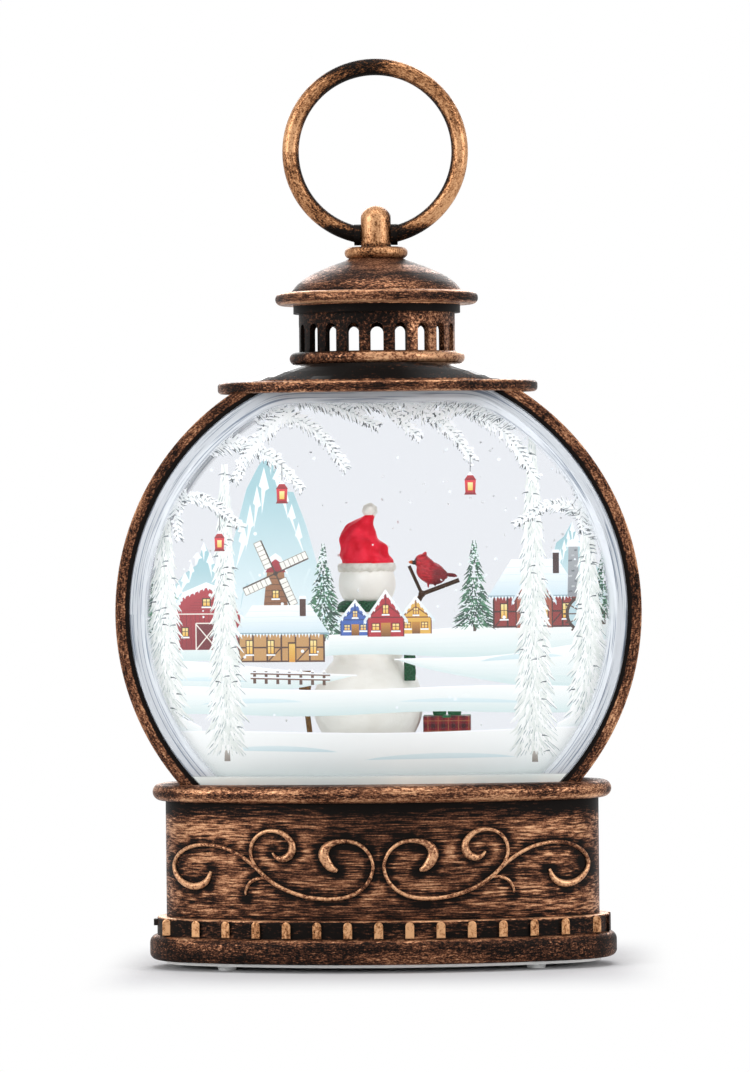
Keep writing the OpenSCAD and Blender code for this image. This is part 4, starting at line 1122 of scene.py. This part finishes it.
# The run of each bough in the print, from its root to its tip.
BOUGHS = (((-52, 48), (-42, 50), (-31, 46), (-22, 37)), ((-40, 60), (-28, 59), (-17, 53), (-9, 43)),
          ((3, 66), (12, 60), (21, 54), (28, 45)), ((18, 64), (29, 59), (39, 51), (46, 40)),
          ((-64, 28), (-57, 34), (-49, 33), (-40, 26)), ((67, 20), (59, 29), (51, 31), (41, 26)),
          ((-18, 66), (-7, 62), (3, 60), (12, 52)), ((-54, 46), (-58, 39), (-59, 31), (-58, 23)),
          ((52, 46), (57, 40), (60, 32), (60, 24)), ((-30, 66), (-20, 63), (-10, 60), (0, 55)),
          ((44, 55), (36, 58), (26, 60), (17, 57)), ((-24, 60), (-31, 55), (-37, 48), (-41, 40)),
          ((34, 62), (26, 63), (17, 62), (8, 57)))
SMALL_BOUGHS = (4, 5, 7, 8)


def draw_print():
    """A winter farm of the maker's own: peaks, mill, barn and spruces between banks of snow."""
    far_peaks(-50, -12, 44, 33, 8)
    far_peaks(-31, -12, 48, 60, 3)
    far_peaks(57, -4, 28, 30, 5)
    drift(wavy(-72, 2, -1.5, -9.5, 1.0, 2.2, .6), wavy(-72, 2, -15, -13, .8, 2, 0), end=1)
    pine(-63, -6, 14, 29, 21)
    pine(-15.5, -7, 13, 27, 22)
    windmill(-29.5, -4, 16.0, 8.4)
    barn(-60, -10.5, 20, 10.5)
    timbered(-40.5, -14.2, 25, 8.6, "c4955a", "4f2c1e", 8.0, 4, door=2)
    drift(wavy(-14, 72, -6.8, .8, .9, 1.6, 2.6), wavy(-14, 72, -13.2, -12, 1, 2, 1))
    pine(28.5, -4.5, 13, 25, 23)
    cottage(-10.5, -6.6, 8.4, 4.6, "3d62b0", "27407a")
    cottage(7.0, -6.2, 8.8, 4.8, "e2b04a", "7a3c22")
    cottage(-2.6, -7.0, 10.4, 5.6, "b3202e", "6d121b", .7)
    timbered(34, -4.8, 24, 9.4, "8d2a22", "3a1a14", 10.5, 4)
    cottage(40.5, -4.9, 10.5, 9.0, "a5543a", "3a1a14", .85)
    fill([(55.5, 4), (59, 4), (58.6, 19), (55.9, 19)], "8d9093", "a9acae")
    for k in range(9):
        stone = [(55.8 + .9 * (k % 3), 5.5 + 1.5 * k), (56.9 + .7 * (k % 3), 5.6 + 1.5 * k)]
        stroke(stone, .5, ("6e7275", "c2c4c5")[k % 2])
    fill([(55.2, 18.6), (59.3, 18.6), (58.8, 20.2), (57, 20.8), (55.6, 20.2)], "fdfefe")
    mill_wheel(60.5, -1.0, 5.6)
    pine(66, -3, 10, 20, 24)
    drift(wavy(-72, -6, -13.5, -17.4, .7, 1.5, .4), wavy(-72, -6, -24, -22, .6, 2, 0), end=1)
    drift(wavy(5, 72, -14.2, -9.0, .9, 1.8, 2.2), wavy(5, 72, -19, -24, .6, 2, 0), end=-1)
    fence(-36, -15, -18.6, -.03)
    shadow_strip(-60, -19.5, 22, 1.3, -.02)
    shadow_strip(30, -14.5, 24, 1.5, .05)
    drift(wavy(-72, 72, -21.6, -22.2, .6, 3.0, .9), wavy(-72, 72, -29.8, -29.2, .5, 4, .2))
    shadow_strip(-52, -26.5, 30, 1.4, .02)
    shadow_strip(6, -26, 38, 1.3, -.02)
    drift(wavy(-72, -52, -25, -33, .5, 1, 0, 9), wavy(-72, -52, -36, -36, 0, 1, 0, 9), "e2edea")
    drift(wavy(52, 72, -33, -24, .5, 1, 0, 9), wavy(52, 72, -36, -36, 0, 1, 0, 9), "e2edea")
    drift(wavy(-72, 72, -34.8, -34.4, .5, 2.6, .4), wavy(-72, 72, -54, -54, 0, 1, 0), "e2ede9")
    shadow_strip(-46, -40, 34, 1.6, -.02)
    shadow_strip(-4, -43, 44, 1.6, .01)
    tall_spruce(-62.5, -32, 13, 68, 31)
    tall_spruce(-44.5, -40, 11.5, 84, 32)
    tall_spruce(45.5, -41, 12.5, 92, 33)
    tall_spruce(61.5, -32, 12.5, 62, 34)
    for k, line in enumerate(BOUGHS):
        bough(line, 41 + k, (4.6, 4.0)[k in SMALL_BOUGHS])
    lamp(-27.5, 34.5, 2.9)
    lamp(27.5, 36.5, 2.9)
    lamp(-46.0, 20.5, 2.6)
    rng = random.Random(7)
    for _ in range(70):
        a, b, r = rng.uniform(-64, 64), rng.uniform(-30, 55), rng.uniform(.25, .6)
        by_snowman = abs(a + 2) < 17 and -8 < b < 34
        if not by_snowman:
            disc(a, b, r, np.arange(0, 6.2, 1.05), "f3f8fa")


def cut(points, lines):
    """The flat mesh of triangles that has these points and lines as edges."""
    found = delaunay_2d_cdt([Vector((float(p[0]), float(p[1]))) for p in points], lines, [], 0, 1e-4)
    return np.array([tuple(p) for p in found[0]]), np.array([tuple(f) for f in found[2]])


def topmost(at, tri, rim):
    """The number of the top shape over each triangle, or -1 where there is none or it lies past the rim."""
    centre = at[tri].mean(1)
    order = np.argsort(centre[:, 0])
    across = centre[order, 0]

    def within(ring):
        ring = np.array(ring)
        low, high = ring.min(0), ring.max(0)
        pick = order[np.searchsorted(across, low[0]):np.searchsorted(across, high[0], "right")]
        pick = pick[(centre[pick, 1] >= low[1]) & (centre[pick, 1] <= high[1])]
        c = centre[pick]
        odd = np.zeros(len(pick), bool)
        for (xa, za), (xb, zb) in zip(ring, np.roll(ring, -1, axis=0)):
            if za == zb:
                continue
            cross = (c[:, 1] < za) != (c[:, 1] < zb)
            odd ^= cross & (c[:, 0] < xa + (c[:, 1] - za) / (zb - za) * (xb - xa))
        return pick[odd]

    top = np.full(len(tri), -1)
    for k, (ring, *_) in enumerate(shapes):
        top[within(ring)] = k
    outside = np.ones(len(tri), bool)
    outside[within(rim)] = False
    top[outside] = -1
    return top


def seen_lines(at, tri, top):
    """Points and lines of the edges between different tops, with straight runs made one line."""
    sides = np.sort(np.vstack([tri[:, [0, 1]], tri[:, [1, 2]], tri[:, [2, 0]]]), axis=1)
    owner = top[np.tile(np.arange(len(tri)), 3)]
    key = sides[:, 0] * len(at) + sides[:, 1]
    order = np.argsort(key, kind="stable")
    pairs = np.flatnonzero(key[order][1:] == key[order][:-1])
    pairs = pairs[owner[order[pairs]] != owner[order[pairs + 1]]]
    near = {}
    for a, b in sides[order[pairs]].tolist():
        near.setdefault(a, []).append(b)
        near.setdefault(b, []).append(a)
    for v in list(near):
        if len(near[v]) != 2:
            continue
        a, b = near[v]
        (x, z), (u, w) = at[b] - at[a], at[v] - at[a]
        if a not in near[b] and abs(x * w - z * u) < 0.012 * math.hypot(x, z):
            near[a][near[a].index(v)] = b
            near[b][near[b].index(v)] = a
            del near[v]
    number = {v: n for n, v in enumerate(sorted(near))}
    lines = {tuple(sorted((number[a], number[b]))) for a in near for b in near[a]}
    return [at[v] for v in sorted(near)], sorted(lines)


def flattened():
    """The print's corners, its triangles, which no two shapes share, and the shape on top of each."""
    rim = [(SHEET_R * math.cos(a), min(SHEET_TOP, max(SHEET_FOOT, SHEET_R * math.sin(a))))
           for a in np.linspace(0, 2 * math.pi, 181)[:-1]]
    rim = [rim[k] for k in range(len(rim)) if rim[k] != rim[k - 1]]
    points, lines = [], []
    for ring in [rim] + [shape[0] for shape in shapes]:
        first, count = len(points), len(ring)
        points.extend(ring)
        lines.extend((first + k, first + (k + 1) % count) for k in range(count))
    at, tri = cut(points, lines)
    points, lines = seen_lines(at, tri, topmost(at, tri, rim))
    for g in np.arange(-68, 69, 4.0):          # a grid too, so that the sheet can bend
        for line in (((g, -50), (g, 64)), ((-70.5, g), (70.5, g))):
            lines.append((len(points), len(points) + 1))
            points.extend(line)
    at, tri = cut(points, lines)
    top = topmost(at, tri, rim)
    area = np.abs(np.cross(at[tri][:, 1] - at[tri][:, 0], at[tri][:, 2] - at[tri][:, 0]))
    keep = (top >= 0) & (area > 1e-5)
    used, again = np.unique(tri[keep], return_inverse=True)
    return at[used], again.reshape(-1, 3), top[keep]


def inked(mesh, at, top):
    """Gives each corner of each face the colour that its shape has at that height."""
    corner = np.zeros(len(mesh.loops), int)
    mesh.loops.foreach_get("vertex_index", corner)
    lows, highs, spans = (np.array([shape[n] for shape in shapes]) for n in (1, 2, 3))
    k = np.repeat(top, 3)
    t = np.clip((at[corner, 1] - spans[k, 0]) / np.maximum(spans[k, 1] - spans[k, 0], 1e-6), 0, 1)[:, None]
    shades = np.ones((len(corner), 4))
    shades[:, :3] = lows[k] * (1 - t) + highs[k] * t
    mesh.color_attributes.new("ink", "FLOAT_COLOR", "CORNER").data.foreach_set("color", shades.ravel())


def film_look():
    """Ink on clear film, whose back glows with a third of the ink's colour: painted light where too little
    light reaches the back of the print.
    """
    f = Finish("printed film")
    ink = f.node("ShaderNodeVertexColor", {"layer_name": "ink"})
    dots = f.grain(0.5, detail=2)
    inner = f.node("ShaderNodeNewGeometry", out="Backfacing")
    # Painted light: a glow of the ink's colour on the film's back only.
    through = f.blend(inner * 0.32, "000000", ink)
    colour = f.blend(0.05, ink, f.blend(dots, "dfe8ea", "ffffff"))
    return f.surface(colour, 0.45, 0.0, bump=dots, depth=0.01, glow=(through, 1.0))


def printed_sheet():
    """The print as one thin sheet on the inside of the front window."""
    draw_print()
    at, tri, top = flattened()
    y = BARREL_Y - np.sqrt((PRINT_R - 0.15) ** 2 - at[:, 0] ** 2 - at[:, 1] ** 2)
    spots = np.stack([at[:, 0], y, at[:, 1] + GLOBE_Z], 1) * MM
    mesh = bpy.data.meshes.new("winter print")
    mesh.from_pydata(spots.tolist(), [], tri.tolist())
    normal = np.cross(spots[tri[:, 1]] - spots[tri[:, 0]], spots[tri[:, 2]] - spots[tri[:, 0]])
    if normal[:, 1].mean() > 0:
        mesh.flip_normals()
    inked(mesh, at, top)
    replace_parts(put("winter_print", mesh, film_look(), "lantern"), "picture_film")


printed_sheet()


# ---------------------------------------------------------------- the figures

def ripple(p, size, seed=0.0):
    """Smooth bumps of about a size, between -1 and 1."""
    return (math.sin(p.x / size + seed) * math.sin(p.y / size * 1.3 + seed * 2)
            * math.sin(p.z / size * 1.1 + seed * 3))


# The red bird: centre, radii, lean about Y and turn about Z of each egg shape.
BIRD = [((15.3, -1.2, 115.5), (4.6, 2.9, 3.3), 22, 0), ((12.7, -1.6, 118.9), (2.3, 2.0, 2.2), 0, 0),
        ((13.9, -1.5, 117.3), (2.6, 2.2, 2.8), -20, 0), ((13.3, -1.6, 120.6), (.7, .5, 1.3), 24, 0),
        ((10.1, -1.7, 118.6), (1.5, .55, .6), 8, 0), ((16.6, -3.0, 115.5), (3.9, .8, 2.1), 18, -6),
        ((16.6, .4, 115.5), (3.9, .5, 2.1), 18, 6), ((20.2, -1.2, 114.9), (2.9, 1.0, .55), 10, 0),
        ((21.3, -1.6, 115.0), (1.4, .45, .4), 6, 4), ((14.4, -1.2, 112.2), (.34, .34, 1.2), 0, 0),
        ((16.4, -1.2, 112.4), (.34, .34, 1.0), 0, 0)]


def snowman():
    """The snowman's body, the fur of its hat and its scarf, each as one moulded skin over its solid."""
    body = skin("snowman", *solids("snowman_body"), 0.7, 10,
                lambda p: 0.16 * ripple(p, 1.9) + 0.07 * ripple(p, .8, 1))
    # The glow is painted light that brightens the snow of the figure.
    look = snow_look("packed snow of the figure", "fbf8f1", "efebe2", glow=0.16)
    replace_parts(put("snowman", body, look, "lantern"), "snowman_body")
    trim = skin("hat_fur", *solids("hat_trim"), 0.32, 3,
                lambda p: 0.3 * ripple(p, .5) + 0.15 * ripple(p, .27, 1))
    # The glow is painted light that brightens the fur.
    look = snow_look("fur of the hat", "f6f2e9", "d6d0c4", 0.6, glow=0.1)
    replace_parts(put("hat_fur", trim, look, "lantern"), "hat_trim")
    scarf = skin("scarf", *solids("snowman_scarf"), 0.35, 4, lambda p: 0.1 * ripple(p, .6))
    look = knit("green knit", "24643f", "123c24")
    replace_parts(put("scarf", scarf, look, "lantern"), "snowman_scarf")


def red_bird():
    """The bird, its eggs run together, with a dark mask, a bill and darker wings."""
    points, faces = [], []
    for row in BIRD:
        egg(points, faces, *row)
    bird = skin("red_bird", points, faces, 0.2, 3,
                lambda p: 0.05 * math.sin(p.x * 5.5 + p.z * 3) * math.sin(p.y * 6))
    f = Finish("feather paint")
    vane = f.grain(0.5, stretch=(2.6, 1.0, 0.8), detail=3)
    red = f.blend(f.step(vane, .3, .7), "94131f", "d8303a")
    wing = f.step(f.x, 14.4, 16.8) * f.step(f.z, 118.0, 116.0) * 0.7
    red = f.blend(wing, red, "5a2125")
    mask = f.band(f.x, 9.6, 11.0, .35) * f.step(f.z, 120.6, 119.6) * f.step(f.z, 117.3, 118.2)
    red = f.blend(mask, red, "15100f")
    red = f.blend(f.step(f.x, 10.0, 9.4) * f.step(f.z, 120.6, 119.6), red, "cf6b2a")
    look = f.surface(red, 0.5, bump=vane, depth=0.12)
    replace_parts(put("red_bird", bird, look, "lantern"), "bird")


def hat():
    """A floppy red hat: rings of cloth folds round a bent middle line."""
    rows = smooth_line([
        (-3.7, 0, 117.7, 6.9), (-3.9, .1, 119.4, 7.3), (-4.5, .2, 122.0, 6.9), (-5.3, .3, 124.8, 6.1),
        (-5.8, .3, 127.2, 5.1), (-5.5, .3, 129.4, 4.0), (-4.5, .2, 131.1, 3.0), (-3.3, .1, 132.4, 2.1),
        (-2.7, 0, 133.3, 1.2)], 0.55)
    sides, points = 48, []
    for i, (x, y, z, r) in enumerate(rows):
        t = i / (len(rows) - 1)
        for k in range(sides):
            a = 2 * math.pi * k / sides
            fold = 1 + 0.05 * math.sin(5 * a + 7 * t) + 0.045 * math.sin(9 * a - 11 * t)
            fold = r * (fold + 0.05 * math.sin(22 * t + a))
            rise = 0.5 * math.sin(a + 8 * t) * min(1, t * 3)
            points.append((x + fold * math.cos(a), y + fold * math.sin(a), z + rise))
    mesh = mesh_from("folded_hat", points, rings(len(rows), sides))
    f = Finish("red felt")
    weave = f.grain(0.45, detail=3)
    cloud = f.grain(4.0)
    red = f.blend(f.step(cloud, .35, .65), "d8152a", "f42f44")
    # The glow is painted light that brightens the red of the hat.
    look = f.surface(red, 0.6, bump=weave, depth=0.15, specular=0.1, glow=(red, 0.08))
    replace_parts(put("folded_hat", mesh, look, "lantern"), "snowman_hat")


snowman()
red_bird()
hat()


# ---------------------------------------------------------------- the liquid and its flakes

def clear_liquid():
    """The liquid without the pockets of its solid round the figures, so that light crosses fewer walls."""
    mound = Vector((MOUND_X, 0.0, MOUND_Z))

    def in_pocket(face):
        """Whether a face lies away from the tank's walls, the ground and the filling plug."""
        p = face.calc_center_median() / MM
        depth = min(DOME_R - (p - Vector((0.0, side * BARREL_Y, GLOBE_Z))).length for side in (-1, 1))
        depth = min(depth, BORE_R - math.hypot(p.x, p.z - GLOBE_Z), LIQUID_TOP - p.z,
                    (p - mound).length - MOUND_R)
        by_plug = p.z > LIQUID_TOP - 3.0 and math.hypot(p.x, p.y) < 8.0
        return depth > 0.4 and not by_plug

    mesh = bpy.data.meshes.new("clear liquid")
    with reworked(mesh, NODES["liquid"].data) as made:
        made.transform(NODES["liquid"].matrix_world)
        bmesh.ops.remove_doubles(made, verts=made.verts, dist=WELD)
        bmesh.ops.delete(made, geom=[face for face in made.faces if in_pocket(face)], context="FACES")
        closed = bmesh.ops.holes_fill(made, edges=[e for e in made.edges if e.is_boundary], sides=0)
        bmesh.ops.triangulate(made, faces=closed["faces"])
        bmesh.ops.recalc_face_normals(made, faces=made.faces)
    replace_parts(put("clear_liquid", mesh, liquid_look(), "lantern", smooth=False), "liquid")


def flake():
    """A thin six-sided disc."""
    shape = bpy.data.meshes.new("flake")
    with reworked(shape) as made:
        bmesh.ops.create_circle(made, cap_ends=True, segments=6, radius=0.45 * MM)
        risen = bmesh.ops.extrude_face_region(made, geom=made.faces[:])["geom"]
        corners = [v for v in risen if isinstance(v, bmesh.types.BMVert)]
        bmesh.ops.translate(made, vec=(0, 0, 0.12 * MM), verts=corners)
        bmesh.ops.recalc_face_normals(made, faces=made.faces)
    return shape


def flakes():
    """Small white flakes adrift in the liquid, clear of its walls and the figures, put by geometry nodes."""
    rng = random.Random(19)
    figure = BVHTree.FromPolygons(*solids(
        "snowman_body", "snowman_hat", "snowman_scarf", "snowman_arms", "hat_trim", "bird", "gift_box",
        "broom", "snow_mound", "impeller"))
    count, spread, off_wall, off_figure = 150, 60, 2.0, 1.6
    spots = []
    while len(spots) < count:
        x, z = rng.uniform(-58, 58), rng.uniform(-44, 52)
        wall = BARREL_Y - math.sqrt(PRINT_R ** 2 - x * x - z * z)
        if x * x + z * z > spread ** 2 or -wall < 3:
            continue
        place = Vector((x, rng.uniform(wall + off_wall, -wall - off_wall), GLOBE_Z + z)) * MM
        if figure.find_nearest(place)[3] > off_figure * MM:
            spots.append(place)
    turns = [tuple(rng.uniform(0, 6.28) for _ in range(3)) for _ in spots]
    mesh = scattered("flakes", spots, flake(), turns, [rng.uniform(.5, 1.1) for _ in spots])
    look = plain("white flake", "f7f9fa", 0.5, change=0.02)
    put("snow_flakes", mesh, look, "lantern", smooth=False)


clear_liquid()
flakes()


# ---------------------------------------------------------------- floor, light and background

WORLD_LIGHT = 0.62                                    # strength for rays that light, where what shows is 1
FLOOR_HALF, LIT_AT = 6.0, Vector((0, 0, 0.13))        # metres
SHADE_X, SHADE_Y = (86.0, 66.0), (112.0, 36.0)        # millimetres over which the shadow fades in
# Name, place and size in metres, and power in watts.
SOFTBOXES = [("left softbox", (-1.1, -0.9, 0.7), (0.7, 1.0), 10.5),
             ("right softbox", (1.2, -0.7, 0.6), (0.5, 1.0), 7.5),
             ("top softbox", (0.0, -0.2, 1.4), (1.0, 0.8), 7.5),
             ("back softbox", (0.0, 1.3, 0.8), (1.2, 0.8), 16.0)]


def stage():
    """A white floor that keeps the shadow near the base, white all round, and four softboxes."""
    mesh = bpy.data.meshes.new("floor")
    corners = [(FLOOR_HALF * x, FLOOR_HALF * y, 0) for x, y in ((-1, -1), (1, -1), (1, 1), (-1, 1))]
    mesh.from_pydata(corners, [], [(0, 1, 2, 3)])
    floor = linked("floor", mesh)
    f = Finish("white studio floor")
    shown = f.shown()
    near = f.step(abs(f.x), *SHADE_X) * f.step(abs(f.y), *SHADE_Y)
    matt = f.node("ShaderNodeBsdfDiffuse", None, {"Color": f.blend(shown, "f4f4f4", "c9c9cb")})
    glow = f.node("ShaderNodeEmission", None, {"Color": "ffffff", "Strength": 1.0})
    f.end(f.node("ShaderNodeMixShader", None, {0: shown * (1.0 - near), 1: matt, 2: glow}))
    floor.data.materials.append(f.material)

    scene = bpy.context.scene
    scene.world = bpy.data.worlds.new("studio")
    scene.world.use_nodes = True
    tree = Tree(scene.world.node_tree)
    strength = tree.node("ShaderNodeMapRange", None,
                         {"Value": tree.shown(), "To Min": WORLD_LIGHT, "To Max": 1.0})
    back = tree.node("ShaderNodeBackground", None, {"Color": "ffffff", "Strength": strength})
    tree.node("ShaderNodeOutputWorld", None, {"Surface": back}, out=None)
    for name, place, size, power in SOFTBOXES:
        data = bpy.data.lights.new(name, "AREA")
        data.shape, data.size, data.size_y, data.energy = "RECTANGLE", size[0], size[1], power
        place = Vector(place)
        aim = (LIT_AT - place).to_track_quat("-Z", "Y").to_matrix().to_4x4()
        linked(name, data).matrix_world = Matrix.Translation(place) @ aim
    scene.view_settings.view_transform = "Standard"


stage()


# ---------------------------------------------------------------- where each named thing shows

def report_points():
    """Finds where each named thing shows on the photograph, edges by the vertices in view, and writes
    nothing.
    """
    shown = {o.name: o for o in bpy.data.objects if o.type == "MESH" and not o.hide_render}
    clear = {"picture_window", "clear_window", "tank_ring", "clear_liquid", "floor"}
    view = bpy.context.evaluated_depsgraph_get()
    eye = camera.matrix_world.translation

    def is_seen(point):
        start, way = eye, (point - eye).normalized()
        for _ in range(8):                # at most so many clear walls on the way
            hit, place, _, _, obj, _ = bpy.context.scene.ray_cast(view, start, way)
            if not hit or (place - eye).length > (point - eye).length - 0.5 * MM:
                return True
            if obj.name not in clear:
                return False
            start = place + way * 0.01 * MM
        return True

    for name, (x, y, end, names) in IMAGE_POINTS.items():
        places = [v.co for n in names if n in shown for v in shown[n].data.vertices]
        spots = np.array([on_photo(p) for p in places])
        if not len(spots):
            continue
        if end == "middle":
            ok = [i for i in range(0, len(places), 7) if spots[i][0] < PHOTO_W / 2 and is_seen(places[i])]
            low, high = spots[ok].min(0), spots[ok].max(0)
            spot = (low + high) / 2
        else:
            key = spots[:, 0 if end in ("left", "right") else 1] * (1 if end in ("left", "top") else -1)
            order = np.argsort(key)
            best = next((i for i in order[:400] if is_seen(places[i])), order[0])
            close = [i for i in order[:4000] if key[i] - key[best] < 0.6]
            spot = spots[close].mean(0)
            if end in ("left", "right"):
                spot = np.array((spots[best][0], (spots[close][:, 1].min() + spots[close][:, 1].max()) / 2))
            else:
                spot = np.array((spot[0], spots[best][1]))


report_points()
